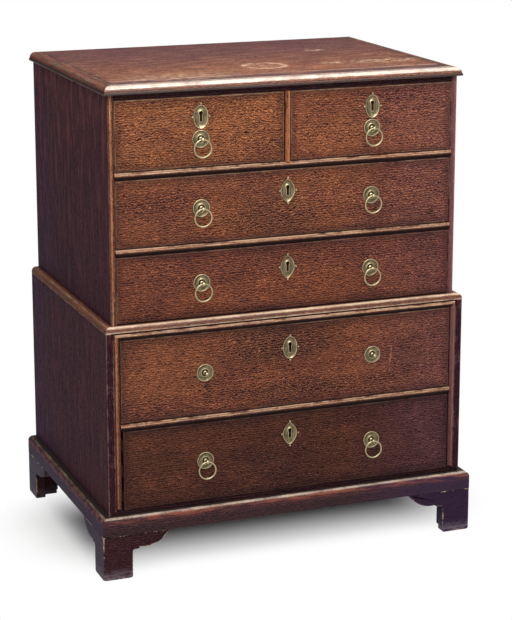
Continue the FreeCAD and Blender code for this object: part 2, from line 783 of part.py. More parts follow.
def pull_masters():
    """One backplate, one pierced ball post and one nut, about the Y axis with the drawer's face at zero."""
    plate_radius = "plate_diameter / 2"
    rim_middle = f"{plate_radius} - plate_rim / 2"
    ring_in = "plate_ring_radius - plate_ring_width / 2"
    ring_out = "plate_ring_radius + plate_ring_width / 2"
    raised = "-plate_centre"
    plate = turned("pull_plate", [
        ("tang_hole", "0"),
        (plate_radius, "0"),
        (plate_radius, "-plate_edge", (rim_middle, "-plate_edge + plate_rim / 2 - plate_rim_rise")),
        (f"{plate_radius} - plate_rim", "-plate_edge"),
        (ring_out, raised, ("plate_ring_radius", f"{raised} + plate_ring_sink")),
        (ring_in, raised),
        ("tang_hole", raised),
    ])
    ball = "ball_diameter / 2"
    neck = "neck_diameter / 2"
    neck_y = f"-pull_reach + sqrt({ball} * {ball} - {neck} * {neck})"
    collar = f"{raised} - collar_thick"
    tang_y = "front_thick + nut_thick + tang_end"
    post = turned("pull_post_turned", [
        ("0", f"-pull_reach - {ball}", ("0", "-pull_reach")),
        (ball, "-pull_reach", ("0", "-pull_reach")),
        (neck, neck_y),
        (neck, collar),
        ("collar_diameter / 2", collar),
        ("collar_diameter / 2", raised),
        ("tang_diameter / 2", raised),
        ("tang_diameter / 2", tang_y),
        ("0", tang_y),
    ])
    eye = rod("pull_eye", (1, 0, 0), "-ball_diameter", "-pull_reach", "0", "eye_radius",
              "2 * ball_diameter")
    nut_half = "nut_width / 2"
    blank = board("pull_nut_blank", (f"-{nut_half}", nut_half), ("front_thick", "front_thick + nut_thick"),
                  (f"-{nut_half}", nut_half))
    bore = rod("pull_nut_bore", (0, 1, 0), "0", "0", "0", "tang_diameter / 2 + thread_clearance",
               "2 * front_thick")
    return {"plate": plate, "post": cut("pull_post", post, [eye]), "nut": cut("pull_nut", blank, [bore])}


def drawer_side(name, x, top, drawer):
    """A side board whose front end is cut into tails that lap into the drawer front."""
    root = f"{drawer.face} + front_thick"
    tip = f"{drawer.face} + dovetail_lap"
    low = f"{drawer.floor} + run_gap"
    pitch = f"(({top}) - ({low})) / {DOVETAILS}"
    outline = [("drawer_end", low), ("drawer_end", top), (root, top)]
    for index in reversed(range(DOVETAILS)):
        middle = f"{low} + {index + 0.5} * {pitch}"
        narrow = "dovetail_width / 2"
        wide = "dovetail_width / 2 + dovetail_flare"
        outline += [
            (root, f"{middle} + {narrow}"),
            (tip, f"{middle} + {wide}"),
            (tip, f"{middle} - ({wide})"),
            (root, f"{middle} - {narrow}"),
        ]
    outline.append((root, low))
    return bar(name, "YZ_Plane", outline, x, "drawer_side")


def lines_of(drawer):
    """The formulas of the planes and centres that a drawer's pieces share."""
    left = f"{drawer.left} + drawer_gap + {drawer.shrink}"
    right = f"{drawer.right} - drawer_gap"
    low = f"{drawer.floor} + drawer_gap"
    high = f"{low} + {drawer.height}"
    key_z = f"{high} - {drawer.key_drop}"
    pull_z = f"{key_z} - short_pull_drop" if drawer.short else f"{low} + {drawer.height} / 2 + pull_rise"
    return Lines("drawer_" + drawer.name, left, right, f"({drawer.left} + {drawer.right}) / 2", low, high,
                 f"{drawer.face} + front_thick", key_z, pull_z)


def drawer_box(drawer, at):
    """Sides, back and bottom; gives back the shapes that the front is cut to take."""
    side_top = f"{at.high} - side_drop"
    floor_z = f"{drawer.floor} + run_gap + floor_lift"
    floor_top = f"{floor_z} + drawer_floor"
    floor = board(at.name + "_bottom",
                  (f"{at.left} + drawer_side - drawer_groove", f"{at.right} - drawer_side + drawer_groove"),
                  (f"{at.inside} - drawer_groove", "drawer_end"), (floor_z, floor_top))
    node(floor, at.name + "_bottom")
    left_tails = drawer_side(at.name + "_left_blank", at.left, side_top, drawer)
    right_tails = drawer_side(at.name + "_right_blank", f"{at.right} - drawer_side", side_top, drawer)
    back = board(at.name + "_back", (f"{at.left} + drawer_side", f"{at.right} - drawer_side"),
                 ("drawer_end - drawer_back", "drawer_end"), (floor_top, f"{side_top} - back_drop"))
    left_side = cut(at.name + "_left_side", left_tails, [floor])
    right_side = cut(at.name + "_right_side", right_tails, [floor])
    node(group(at.name + "_box", [left_side, right_side, back]), at.name + "_box")
    return [left_tails, right_tails, floor]


def drawer_front(drawer, at, pulls, cutters):
    """The front board, cut for the box, the lock and the tangs of the pulls."""
    blank = board(at.name + "_front_blank", (at.left, at.right), (drawer.face, at.inside), (at.low, at.high))
    tang_holes = [rod(f"{at.name}{side}_tang_hole", (0, 1, 0), x, f"{drawer.face} - {SPARE}", at.pull_z,
                      "tang_hole", f"front_thick + 2 * {SPARE}") for side, x in pulls.items()]
    node(cut(at.name + "_front", blank, cutters + tang_holes), at.name + "_front")


def drawer_lock(drawer, at, screw):
    """A flanged case with a pin, four screws and a sliding bolt; gives back the holes for the front."""
    hole_bar = keyhole(at.name + "_keyhole_bar", "0", f"-{SPARE}", f"{SPARE} + front_thick + key_pocket")
    hole = copy_at(at.name + "_keyhole", hole_bar, at.middle, drawer.face, at.key_z)
    lock_low = f"{at.key_z} - lock_below"
    flange_back = f"{at.inside} + flange_thick"
    screw_x = "(lock_width / 2 + flange_width / 2)"
    screws = []
    holes = [hole]
    for side, x in (("left", f"{at.middle} - {screw_x}"), ("right", f"{at.middle} + {screw_x}")):
        for level, z in (("low", f"{lock_low} + screw_inset"), ("high", f"{at.high} - screw_inset")):
            screws.append(copy_at(f"{at.name}_screw_{side}_{level}", screw, x, flange_back, z))
            holes.append(rod(f"{at.name}_screw_hole_{side}_{level}", (0, 1, 0), x,
                             f"{flange_back} - screw_length - screw_fit", z,
                             "screw_shank / 2 + screw_fit", "screw_length + screw_fit"))

    case_half = "lock_width / 2"
    flange_half = f"{case_half} + flange_width"
    case = board(at.name + "_lock_case", (f"{at.middle} - {case_half}", f"{at.middle} + {case_half}"),
                 (at.inside, f"{at.inside} + lock_depth"), (lock_low, at.high))
    flange = board(at.name + "_lock_flange",
                   (f"{at.middle} - ({flange_half})", f"{at.middle} + {flange_half}"),
                   (at.inside, flange_back), (lock_low, at.high))
    bolt_x = (f"{at.middle} - bolt_width / 2", f"{at.middle} + bolt_width / 2")
    bolt_y = f"{at.inside} + bolt_back"
    bolt_low = f"{at.high} - bolt_length"
    channel = board(at.name + "_lock_channel", (f"{bolt_x[0]} - bolt_fit", f"{bolt_x[1]} + bolt_fit"),
                    (f"{bolt_y} - bolt_fit", f"{bolt_y} + bolt_thick + bolt_fit"),
                    (f"{bolt_low} - bolt_fit", f"{at.high} + {SPARE}"))
    pin = rod(at.name + "_lock_pin", (0, 1, 0), at.middle, f"{drawer.face} + pin_set",
              f"{at.key_z} + bow_rise", "pin_diameter / 2", "front_thick - pin_set + key_pocket")
    blank = fuse(at.name + "_lock_blank", [case, flange])
    pinned = fuse(at.name + "_lock_pinned", [cut(at.name + "_lock_body", blank, holes + [channel]), pin])
    node(group(at.name + "_lock", [pinned] + screws), at.name + "_lock")
    bolt = board("bolt_" + drawer.name, bolt_x, (bolt_y, f"{bolt_y} + bolt_thick"), (bolt_low, at.high))
    node(bolt, "bolt_" + drawer.name)
    return holes


def drawer_brasses(drawer, at, pulls, masters, key_plate):
    """The keyhole plate and the pulls, with the rings that hang in the posts' eyes."""
    brasses = [copy_at(at.name + "_scutcheon", key_plate, at.middle, drawer.face, at.key_z)]
    for side, x in pulls.items():
        brasses += [copy_at(f"{at.name}{side}_{kind}", master, x, drawer.face, at.pull_z)
                    for kind, master in masters.items()]
        if drawer.ringed:
            name = f"ring_{drawer.name}{side}"
            ring = doc.addObject("Part::Torus", name)
            ring.Placement.Rotation = FreeCAD.Rotation(Vector(0, 0, 1), Vector(0, 1, 0))
            ring.setExpression("Radius1", formula("ring_radius"))
            ring.setExpression("Radius2", formula("ring_wire / 2"))
            place(ring, x, f"{drawer.face} - pull_reach", f"{at.pull_z} - ring_radius")
            node(ring, name)
    node(group(at.name + "_brasses", brasses), at.name + "_brasses")


def make_drawer(drawer, masters, key_plate, screw):
    """One drawer with all that is fixed to it or moves on it."""
    at = lines_of(drawer)
    pulls = {side: f"{at.middle} + {x}" for side, x in drawer.pulls.items()}
    cutters = drawer_box(drawer, at) + drawer_lock(drawer, at, screw)
    drawer_front(drawer, at, pulls, cutters)
    drawer_brasses(drawer, at, pulls, masters, key_plate)


def build():
    """Makes every sub-part of the chest."""
    feet()
    lower_chest()
    upper_chest()
    waist_and_base()
    beads()
    top()
    sides = {"left": (-1, 0), "right": (1, 0), "top": (0, 1), "bottom": (0, -1)}
    long_plate = scutcheon("scutcheon_long", sides)
    # On a short drawer the pull's plate takes the place of the bottom finial.
    sides.pop("bottom")
    short_plate = scutcheon("scutcheon_short", sides)
    masters = pull_masters()
    screw = lock_screw()
    for drawer in DRAWERS:
        make_drawer(drawer, masters, short_plate if drawer.short else long_plate, screw)


def write():
    """Checks every object and sub-part, then writes one file for each sub-part."""
    doc.recompute()
    for item in doc.Objects:
        if "Invalid" in item.State or "Error" in item.State:
            raise RuntimeError(f"{item.Name} failed: {item.State}")
    for part in nodes:
        if part.Shape.isNull() or not part.Shape.isValid() or not part.Shape.Solids:
            raise RuntimeError(f"{part.Label} has no valid solid")
    os.makedirs("parts", exist_ok=True)
    for part in nodes:
        part.Shape.exportStep(f"parts/{part.Label}.step")
    print(len(nodes), "sub-parts,", sum(len(part.Shape.Solids) for part in nodes), "solids")


build()
write()
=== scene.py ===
"""The look of a small oak chest on chest, put round the fixed frame of its solids.

Boards, mouldings, beads and bracket feet have eased and rubbed arrises, with painted highlights on the crowns
of mouldings and beads and painted shade in their hollows; the brasses are tarnished, with painted shade where
they turn from the front, and every finish is worked out in nodes. Metres; the front is towards -Y.
"""
import math
import random
from collections import namedtuple

import bmesh
import bpy
from mathutils import Matrix, Vector


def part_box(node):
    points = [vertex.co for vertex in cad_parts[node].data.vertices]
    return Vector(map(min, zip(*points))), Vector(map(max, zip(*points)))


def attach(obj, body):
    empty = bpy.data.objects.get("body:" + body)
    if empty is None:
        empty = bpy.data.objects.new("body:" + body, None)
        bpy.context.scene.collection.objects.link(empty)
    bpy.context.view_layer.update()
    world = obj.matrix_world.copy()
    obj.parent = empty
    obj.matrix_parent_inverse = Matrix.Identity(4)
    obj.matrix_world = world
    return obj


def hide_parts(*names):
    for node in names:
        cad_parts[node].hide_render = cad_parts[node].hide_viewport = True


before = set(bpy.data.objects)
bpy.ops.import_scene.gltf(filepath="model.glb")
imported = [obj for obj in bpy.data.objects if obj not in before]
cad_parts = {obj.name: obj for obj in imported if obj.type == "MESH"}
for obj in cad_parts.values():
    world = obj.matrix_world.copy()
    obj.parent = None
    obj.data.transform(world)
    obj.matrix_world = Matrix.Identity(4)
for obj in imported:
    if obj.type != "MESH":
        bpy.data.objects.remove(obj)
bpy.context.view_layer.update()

MM = 0.001
X, Y, Z = range(3)
ACROSS, DEEP, UP = Vector((1, 0, 0)), Vector((0, 1, 0)), Vector((0, 0, 1))

# The sides of a box, numbered as side_gaps gives them.
LEFT, RIGHT, FRONT, REAR, TOP = 0, 1, 2, 3, 5
DRAWERS = ("short_left", "short_right", "second", "third", "fourth", "fifth")

# How far an arris is eased, how sharp a turn shows as one, and how flat a turn is taken out.
BOARD_EASE = 1.1 * MM
FOOT_EASE = 1.3 * MM
SHARP_TURN = math.radians(38)
FLAT_TURN = math.radians(0.4)
MERGE_GAP = 0.01 * MM

# Lines on a board at these distances from its arrises, so that rubbing and grime can fade across them.
FADE_LINES = (2.5 * MM, 7 * MM, 18 * MM, 45 * MM)

# In how many steps runs, eased arrises, crowns and beads are drawn, and how far and fast a run wanders.
RUN_STEPS = 48
EASE_STEPS = 3
CROWN_STEPS = 14
BEAD_STEPS = 12
WANDER = 0.35 * MM
WANDER_RATE = 9.0

# Boards are cut from their planks at random within this reach, so that no two share their grain.
PLANK_REACH = 20


# Lines of the chest, read from its solids

def lowest(node):
    """The lowest corner of a node."""
    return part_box(node)[0]


def highest(node):
    """The highest corner of a node."""
    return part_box(node)[1]


DRAWER_GAP = 1.2 * MM
BEAD_MARGIN = 0.75 * MM
BEAD_RISE = 4.5 * MM
BEAD_FOOT_GAP = 6 * MM

BACK = highest("upper_sides").y
UPPER_HALF = highest("upper_sides").x
UPPER_FRONT = lowest("upper_sides").y
UPPER_TOP = lowest("top_board").z
LOWER_HALF = highest("lower_sides").x
LOWER_FRONT = lowest("lower_sides").y
BASE_HALF = highest("base_moulding").x
BASE_FRONT = lowest("base_moulding").y
FOOT_TOP = lowest("base_moulding").z
BASE_TOP = highest("base_moulding").z
TOP_HALF = highest("top_board").x
TOP_FRONT = lowest("top_board").y


def above(drawer):
    """The level of the rail over a drawer."""
    return highest(f"drawer_{drawer}_front").z + DRAWER_GAP


def below(drawer):
    """The level of the rail under a drawer."""
    return lowest(f"drawer_{drawer}_front").z - DRAWER_GAP


OPENING_HALF = highest("drawer_second_front").x + DRAWER_GAP
MUNTIN_HALF = lowest("drawer_short_right_front").x - DRAWER_GAP
BEAD_INNER = OPENING_HALF + BEAD_MARGIN
STILE_BEAD = UPPER_HALF - OPENING_HALF - 2 * BEAD_MARGIN
RAIL_BEAD = below("second") - above("third") - 2 * BEAD_MARGIN
MUNTIN_BEAD = 2 * (MUNTIN_HALF - BEAD_MARGIN)


# Building node trees

class Value:
    """What comes out of a node. Sums on it are written as sums, and each makes a node."""

    def __init__(self, socket):
        self.socket = socket

    def __add__(self, other):
        return maths("ADD", self, other)

    def __sub__(self, other):
        return maths("SUBTRACT", self, other)

    def __rsub__(self, other):
        return maths("SUBTRACT", other, self)

    def __mul__(self, other):
        return maths("MULTIPLY", self, other)

    def __truediv__(self, other):
        return maths("DIVIDE", self, other)

    def __abs__(self):
        return maths("ABSOLUTE", self)


def fill(node, inputs):
    """Sets or links a node's inputs, by name or number."""
    for key, value in inputs.items():
        if isinstance(value, Value):
            node.id_data.links.new(value.socket, node.inputs[key])
        else:
            node.inputs[key].default_value = value


def add(tree, kind, inputs=None, **settings):
    """What comes out of a new node, by name and number, after its settings and inputs are set."""
    made = tree.nodes.new(kind)
    for key, value in settings.items():
        setattr(made, key, value)
    fill(made, inputs or {})
    values = {}
    for number, socket in enumerate(made.outputs):
        values[number] = Value(socket)
        values.setdefault(socket.name, values[number])
    return values


def tree_of(*terms):
    """The tree of the first value among some terms."""
    return next(term.socket.id_data for term in terms if isinstance(term, Value))


def maths(operation, *terms, clamp=False):
    """The outcome of one sum on numbers."""
    settings = {"operation": operation, "use_clamp": clamp}
    return add(tree_of(*terms), "ShaderNodeMath", dict(enumerate(terms)), **settings)[0]


def vectors(operation, *terms):
    """The outcome of one sum on vectors."""
    out = "Value" if operation in ("LENGTH", "DOT_PRODUCT") else "Vector"
    return add(tree_of(*terms), "ShaderNodeVectorMath", dict(enumerate(terms)), operation=operation)[out]


def part_of(vector, axis):
    """One part of a vector."""
    return add(tree_of(vector), "ShaderNodeSeparateXYZ", {0: vector})[axis]


def fade(value, start, end, low=0.0, high=1.0):
    """A smooth change from low to high as a value goes from start to end."""
    inputs = {"Value": value, "From Min": start, "From Max": end, "To Min": low, "To Max": high}
    return add(tree_of(value), "ShaderNodeMapRange", inputs, interpolation_type="SMOOTHSTEP")[0]


def blend(share, first, second):
    """Two colours mixed by a share."""
    return add(tree_of(share), "ShaderNodeMix", {0: share, 6: first, 7: second}, data_type="RGBA")[2]


def cloudy(where, scale, detail=2.0, roughness=0.55, shift=(0, 0, 0), out=0):
    """Noise at a place, with a scale for each direction."""
    moved = vectors("ADD", vectors("MULTIPLY", where, scale), shift)
    inputs = {"Vector": moved, "Scale": 1.0, "Detail": detail, "Roughness": roughness}
    return add(tree_of(where), "ShaderNodeTexNoise", inputs)[out]


def new_tree(name, kind, takes, gives):
    """An empty node group with named sockets: the tree, what it takes, and its output node."""
    tree = bpy.data.node_groups.new(name, kind)
    for way, sockets in (("INPUT", takes), ("OUTPUT", gives)):
        for label, socket, *default in sockets:
            made = tree.interface.new_socket(name=label, in_out=way, socket_type="NodeSocket" + socket)
            if default:
                made.default_value = default[0]
    return tree, add(tree, "NodeGroupInput"), tree.nodes.new("NodeGroupOutput")


def use(group, **inputs):
    """What comes out of a group that is placed in the tree of its inputs."""
    return add(tree_of(*inputs.values()), "ShaderNodeGroup", inputs, node_tree=group)


# Effects that several finishes share

# The oak's lines: how far apart, how far they sway and how broken they are.
LINE_GAP = 4.6 * MM
LINE_SWAY = (0, 0.011, 0.011)
LINE_BREAK = 2.4

# How far lines and grit make flecks, how deep flecks and pores lie, and what makes rubbing uneven.
LINE_SHARE, GRIT_SHARE = 0.7, 0.4
FLECK_DEPTH, PORE_DEPTH = 0.6, 0.4
STRETCH_SHARE, CHIP_SHARE = 1.2, 0.8


def make_oak_figure():
    """Oak with its grain along the first direction: soft bands, pores, dark and pale flecks, and relief."""
    parts = ("Blotch", "Bands", "Hue", "Flecks", "Silver", "Pores", "Height")
    tree, given, out = new_tree("oak_figure", "ShaderNodeTree", [("Grain", "Vector")],
                                [(part, "Float") for part in parts])
    place = given["Grain"]
    sway = vectors("SUBTRACT", cloudy(place, (4, 15, 15), out=1), (0.5, 0.5, 0.5))
    grain = vectors("ADD", place, vectors("MULTIPLY", sway, LINE_SWAY))
    broken = cloudy(grain, (240, 150, 150), 1.0, 0.7, (9, 2, 5))
    turns = vectors("DOT_PRODUCT", grain, (0, 1, 1)) / LINE_GAP + broken * LINE_BREAK
    lines = maths("SINE", turns * math.tau)
    grit = fade(cloudy(grain, (150, 900, 900), 0.0, 0.5, (3, 7, 1)), 0.42, 0.62)
    flecks = maths("ADD", fade(lines, 0.0, 1.0) * LINE_SHARE, grit * GRIT_SHARE, clamp=True)
    pores = fade(cloudy(grain, (60, 2600, 2600), 0.0, 0.5, (5, 5, 8)), 0.52, 0.64)
    fill(out, {
        "Blotch": fade(cloudy(place, (6, 12, 12), 4.0, 0.68), 0.39, 0.61),
        "Bands": fade(cloudy(grain, (2.6, 60, 60), 4.0, 0.62), 0.35, 0.66),
        "Hue": fade(cloudy(grain, (22, 110, 110), 3.0, 0.65, (2, 4, 9)), 0.36, 0.64),
        "Flecks": flecks,
        "Silver": fade(lines, 0.0, -1.0),
        "Pores": pores,
        "Height": 1.0 - (flecks * FLECK_DEPTH + pores * PORE_DEPTH)})
    return tree


def make_rubbed_arris():
    """Where an arris is pale, in uneven stretches, within a width of it: rubbed by hands, feet and dusters,
    and on the crowns of mouldings and beads also a painted highlight.
    """
    tree, given, out = new_tree(
        "rubbed_arris", "ShaderNodeTree",
        [("Place", "Vector"), ("Arris", "Float"), ("Width", "Float", 0.003), ("Reach", "Float", 0.5),
         ("Chipped", "Float", 1.0)],
        [("Rubbed", "Float")])
    stretches = cloudy(given["Place"], (26, 26, 26), 3.0, 0.6)
    chips = cloudy(given["Place"], (210, 210, 210), 2.0, 0.6, (4, 1, 6))
    uneven = stretches * STRETCH_SHARE + chips * CHIP_SHARE
    near = maths("SUBTRACT", 1.0, given["Arris"] / (given["Width"] * uneven), clamp=True)
    share = maths("MULTIPLY", uneven + given["Reach"] - 1.0, given["Chipped"], clamp=True)
    fill(out, {"Rubbed": maths("MULTIPLY", near, share, clamp=True)})
    return tree


def make_settled_grime():
    """Dark wax and dirt that has gathered towards the edges of a board, thinning out unevenly."""
    tree, given, out = new_tree("settled_grime", "ShaderNodeTree",
                                [("Place", "Vector"), ("Arris", "Float"), ("Spread", "Float", 0.03)],
                                [("Grime", "Float")])
    patches = cloudy(given["Place"], (14, 14, 14), 4.0, 0.65, (2, 8, 3))
    spread = given["Spread"] * (patches * 2.0)
    fill(out, {"Grime": maths("SUBTRACT", 1.0, given["Arris"] / spread, clamp=True)})
    return tree


OAK_FIGURE = make_oak_figure()
RUBBED_ARRIS = make_rubbed_arris()
SETTLED_GRIME = make_settled_grime()


# Tones, given as they show on a screen, from 0 to 255

def rgb(red, green, blue):
    """A shown colour as the numbers that a node takes."""
    shown = [part / 255 for part in (red, green, blue)]
    return tuple(p / 12.92 if p <= 0.04045 else ((p + 0.055) / 1.055) ** 2.4 for p in shown) + (1.0,)


# Each wood's grime tone also colours the painted shade in the hollows of mouldings and beads, and its worn
# tone also their painted highlights.
Tones = namedtuple("Tones", "deep body red warm dark pore grime worn")


def tones_of(*shown):
    """The tones of one kind of wood."""
    return Tones(*(rgb(*tone) for tone in shown))


def darker(tones, red, green=None, blue=None):
    """Tones of the same wood, darker by a share, or by one for each of red, green and blue."""
    shares = (red, green or red, blue or red)
    return Tones(*(tuple(part * share for part, share in zip(tone, shares)) + (1.0,) for tone in tones))


WORN = (214, 186, 148)
FRONT_TONES = tones_of((84, 34, 36), (154, 88, 48), (118, 42, 46), (240, 164, 104), (25, 9, 10),
                       (30, 13, 14), (36, 18, 21), WORN)
TOP_TONES = tones_of((76, 36, 37), (132, 72, 52), (80, 30, 40), (204, 140, 100), (52, 24, 25),
                     (42, 20, 22), (34, 18, 22), WORN)
# The sides' oak is darker than the fronts'; part of that darkness is painted shade, and its purple cast is a
# painted cool reflection.
SIDE_TONES = tones_of((60, 24, 40), (80, 36, 52), (36, 15, 26), (118, 62, 70), (30, 12, 23),
                      (24, 12, 21), (28, 15, 24), (186, 150, 138))
BASE_TONES = tones_of((38, 20, 28), (50, 26, 33), (50, 20, 30), (112, 64, 62), (14, 7, 12),
                      (22, 12, 19), (22, 13, 19), WORN)
# The worn tones of the beads, stiles and mouldings stand partly for wear and partly for a painted highlight
# on their crowns.
BEAD_TONES = tones_of((78, 38, 27), (130, 72, 46), (100, 42, 35), (184, 126, 92), (52, 27, 23),
                      (32, 17, 17), (20, 11, 13), (216, 194, 166))
STILE_TONES = tones_of((92, 44, 30), (142, 78, 48), (116, 48, 38), (196, 128, 84), (60, 29, 23),
                       (34, 17, 17), (20, 11, 13), (206, 160, 122))
LINING_TONES = tones_of((126, 98, 68), (160, 128, 92), (140, 100, 66), (192, 160, 118), (112, 82, 54),
                        (84, 58, 36), (70, 50, 36), WORN)
PINE_TONES = tones_of((132, 98, 62), (170, 134, 90), (150, 104, 64), (200, 166, 116), (122, 88, 54),
                      (104, 72, 42), (62, 46, 36), WORN)

# How light each drawer front is beside the others, in red, green and blue: partly each board's own tone, and
# partly painted shade that deepens towards the floor.
FRONT_TONE_AND_SHADE = {"short_left": (1.17, 1.13, 1.07), "short_right": (1.05, 0.97, 1.06),
               "second": (0.96, 0.87, 0.95), "third": (0.88, 0.76, 0.88),
               "fourth": (0.86, 0.75, 0.86), "fifth": (0.39, 0.32, 0.42)}

# Finishes

SILVER_SHARE, FLECK_SHARE, PORE_SHARE = 0.64, 0.95, 0.6
RUB_DEPTH = 4 * MM
RUB_BELOW = 0.4
FLECK_ROUGHNESS = 0.2
COAT_ROUGHNESS = 0.18
RELIEF = {"Distance": 0.0004, "Strength": 0.4}
RUBBED_PROUD = (1.25 * MM, 1.75 * MM)


def start_material(name):
    """A new material: the material, its shader and the place on its piece."""
    material = bpy.data.materials.new(name)
    material.use_nodes = True
    place = add(material.node_tree, "ShaderNodeTexCoord")["Object"]
    return material, material.node_tree.nodes["Principled BSDF"], place


def carried(place, name, out="Fac"):
    """A value that a piece carries on its points."""
    return add(tree_of(place), "ShaderNodeAttribute", attribute_name=name)[out]


def facing(place, axis):
    """How far the surface faces along one axis."""
    return part_of(add(tree_of(place), "ShaderNodeTexCoord")["Normal"], axis)


def marked(colour, layers):
    """A colour with layers of marks on it, each with a share, a strength and a tone."""
    for share, strength, tone in layers:
        colour = blend(share * strength, colour, rgb(*tone))
    return colour


def oak(name, tones, turn=None, stretch=1.0, fleck=1.0, hue=0.28, bands=0.14, rub=0.002, reach=0.2,
        chipped=1.0, rub_above=None, spread=0.03, dirt=0.6, hollow_dirt_and_shade=None, roughness=0.42, shine=0.2,
        coat=0.0, ground=None, extra=None):
    """An oak finish with the piece's own grain or, with turn, with grain by Object coordinates turned so.

    ground gives tones and marks under its flecks and grime, and extra gives marks on top of them; some of
    each are painted light and shade.
    """
    material, shader, place = start_material(name)
    arris = None if turn else carried(place, "arris")
    if turn:
        grain = add(tree_of(place), "ShaderNodeMapping", {"Vector": place, "Rotation": turn})[0]
    else:
        grain = carried(place, "grain", "Vector")
    figure = use(OAK_FIGURE, Grain=vectors("MULTIPLY", grain, (stretch, 1, 1)))
    colour = blend(figure["Blotch"], tones.deep, tones.body)
    colour = blend(figure["Hue"] * hue, colour, tones.red)
    colour = blend(figure["Bands"] * bands, colour, tones.warm)
    if ground:
        colour = marked(colour, ground(place))
    colour = blend(figure["Silver"] * (SILVER_SHARE * fleck), colour, tones.warm)
    colour = blend(figure["Flecks"] * (FLECK_SHARE * fleck), colour, tones.dark)
    colour = blend(figure["Pores"] * (PORE_SHARE * fleck), colour, tones.pore)
    # Away from its worn points a piece goes towards its grime tone, by the dirt strength: dirt and painted
    # shade in its hollows.
    if hollow_dirt_and_shade:
        colour = blend(fade(arris, *hollow_dirt_and_shade) * dirt, colour, tones.grime)
    elif arris:
        grime = use(SETTLED_GRIME, Place=place, Arris=arris, Spread=spread)["Grime"]
        colour = blend(grime * dirt, colour, tones.grime)
    if extra:
        colour = marked(colour, extra(place))
    if arris:
        rubbed = use(RUBBED_ARRIS, Place=place, Arris=arris, Width=rub, Reach=reach,
                     Chipped=chipped)["Rubbed"]
        if rub_above:
            rubbed = rubbed * fade(part_of(place, Z), rub_above - RUB_DEPTH, rub_above, RUB_BELOW, 1.0)
        colour = blend(rubbed, colour, tones.worn)
    relief = add(tree_of(place), "ShaderNodeBump", {"Height": figure["Height"], **RELIEF})[0]
    rough = fade(figure["Flecks"], 0.0, 1.0, roughness, roughness + FLECK_ROUGHNESS)
    fill(shader, {"Base Color": colour, "Roughness": rough, "Normal": relief, "Specular IOR Level": shine,
                  "Coat Weight": coat, "Coat Roughness": COAT_ROUGHNESS})
    return material


def brass(name, bright_tone):
    """Old brass gone olive in patches, with whatever stands proud rubbed bright by hands, and painted shade
    where it turns away from the front.
    """
    material, shader, place = start_material(name)
    patches = fade(cloudy(place, (90, 90, 90), 4.0, 0.6), 0.35, 0.68)
    specks = fade(cloudy(place, (600, 600, 600), 2.0, 0.6), 0.52, 0.7)
    bright = fade(carried(place, "proud"), *RUBBED_PROUD) * fade(patches, 0.0, 1.0, 1.0, 0.7)
    # Painted shade on the brass where its surface turns away from the front.
    aside = fade(facing(place, Y), -0.85, -0.2)
    colour = marked(blend(patches, rgb(126, 114, 86), rgb(92, 82, 60)),
                    [(specks, 0.5, (48, 42, 28)), (bright, 1.0, bright_tone), (aside, 0.8, (66, 56, 34))])
    fill(shader, {"Base Color": colour, "Roughness": fade(patches, 0.0, 1.0, 0.36, 0.5), "Metallic": 1.0})
    return material


def iron(name):
    """Dark wrought iron with a little rust."""
    material, shader, place = start_material(name)
    rust = fade(cloudy(place, (120, 120, 120), 4.0, 0.65), 0.45, 0.7)
    fill(shader, {"Base Color": blend(rust, rgb(62, 60, 60), rgb(84, 52, 36)),
                  "Roughness": fade(rust, 0.0, 1.0, 0.4, 0.75), "Metallic": fade(rust, 0.0, 1.0, 0.9, 0.2)})
    return material


# Marks, in layers of a share, a strength and a tone

PATCH_EDGE = (1.0, 0.35)
PATCH_RAGGED = 1.0


def patch(place, centre, size):
    """One inside a ragged oval, fading to nothing at its edge. A size of nought ignores that way."""
    shrink = tuple(1 / part if part else 0 for part in size)
    far = vectors("LENGTH", vectors("MULTIPLY", vectors("SUBTRACT", place, centre), shrink))
    edge = cloudy(place, (60, 60, 60), 4.0, 0.65)
    return fade(far + (edge - 0.5) * PATCH_RAGGED, *PATCH_EDGE)


def streaks(place, scale, start, end):
    """Broken streaks, with a scale for each direction."""
    return fade(cloudy(place, scale, 3.0, 0.65, (1, 6, 2)), start, end)


def top_tones(place):
    """The top's tones: painted shade that darkens it and turns it purpler to the back, darker and redder to
    the left, and a lighter tan band in front.
    """
    return [(fade(part_of(place, Y), -0.13, 0.14), 0.8, (64, 32, 46)),
            (fade(part_of(place, X), -0.22, -0.38), 0.4, (80, 44, 46)),
            (patch(place, (-0.15, -0.16, 0), (0.3, 0.11, 0)), 0.3, (190, 136, 100)),
            (streaks(place, (5, 42, 0), 0.5, 0.66), 0.55, (56, 28, 34))]


CUP_PLACE = (0.0126, -0.0937, 0)
CUP_RADIUS = 41 * MM
TOP_LINE = TOP_FRONT + 42 * MM

# The pale scuffs on the top: where, how large and how strong.
TOP_SCUFFS = (((0.27, -0.105, 0), (0.1, 0.035, 0), 0.7), ((0.2, 0.096, 0), (0.035, 0.02, 0), 0.7),
              ((0.16, -0.1, 0), (0.05, 0.02, 0), 0.7), ((-0.2, -0.185, 0), (0.15, 0.06, 0), 0.5))


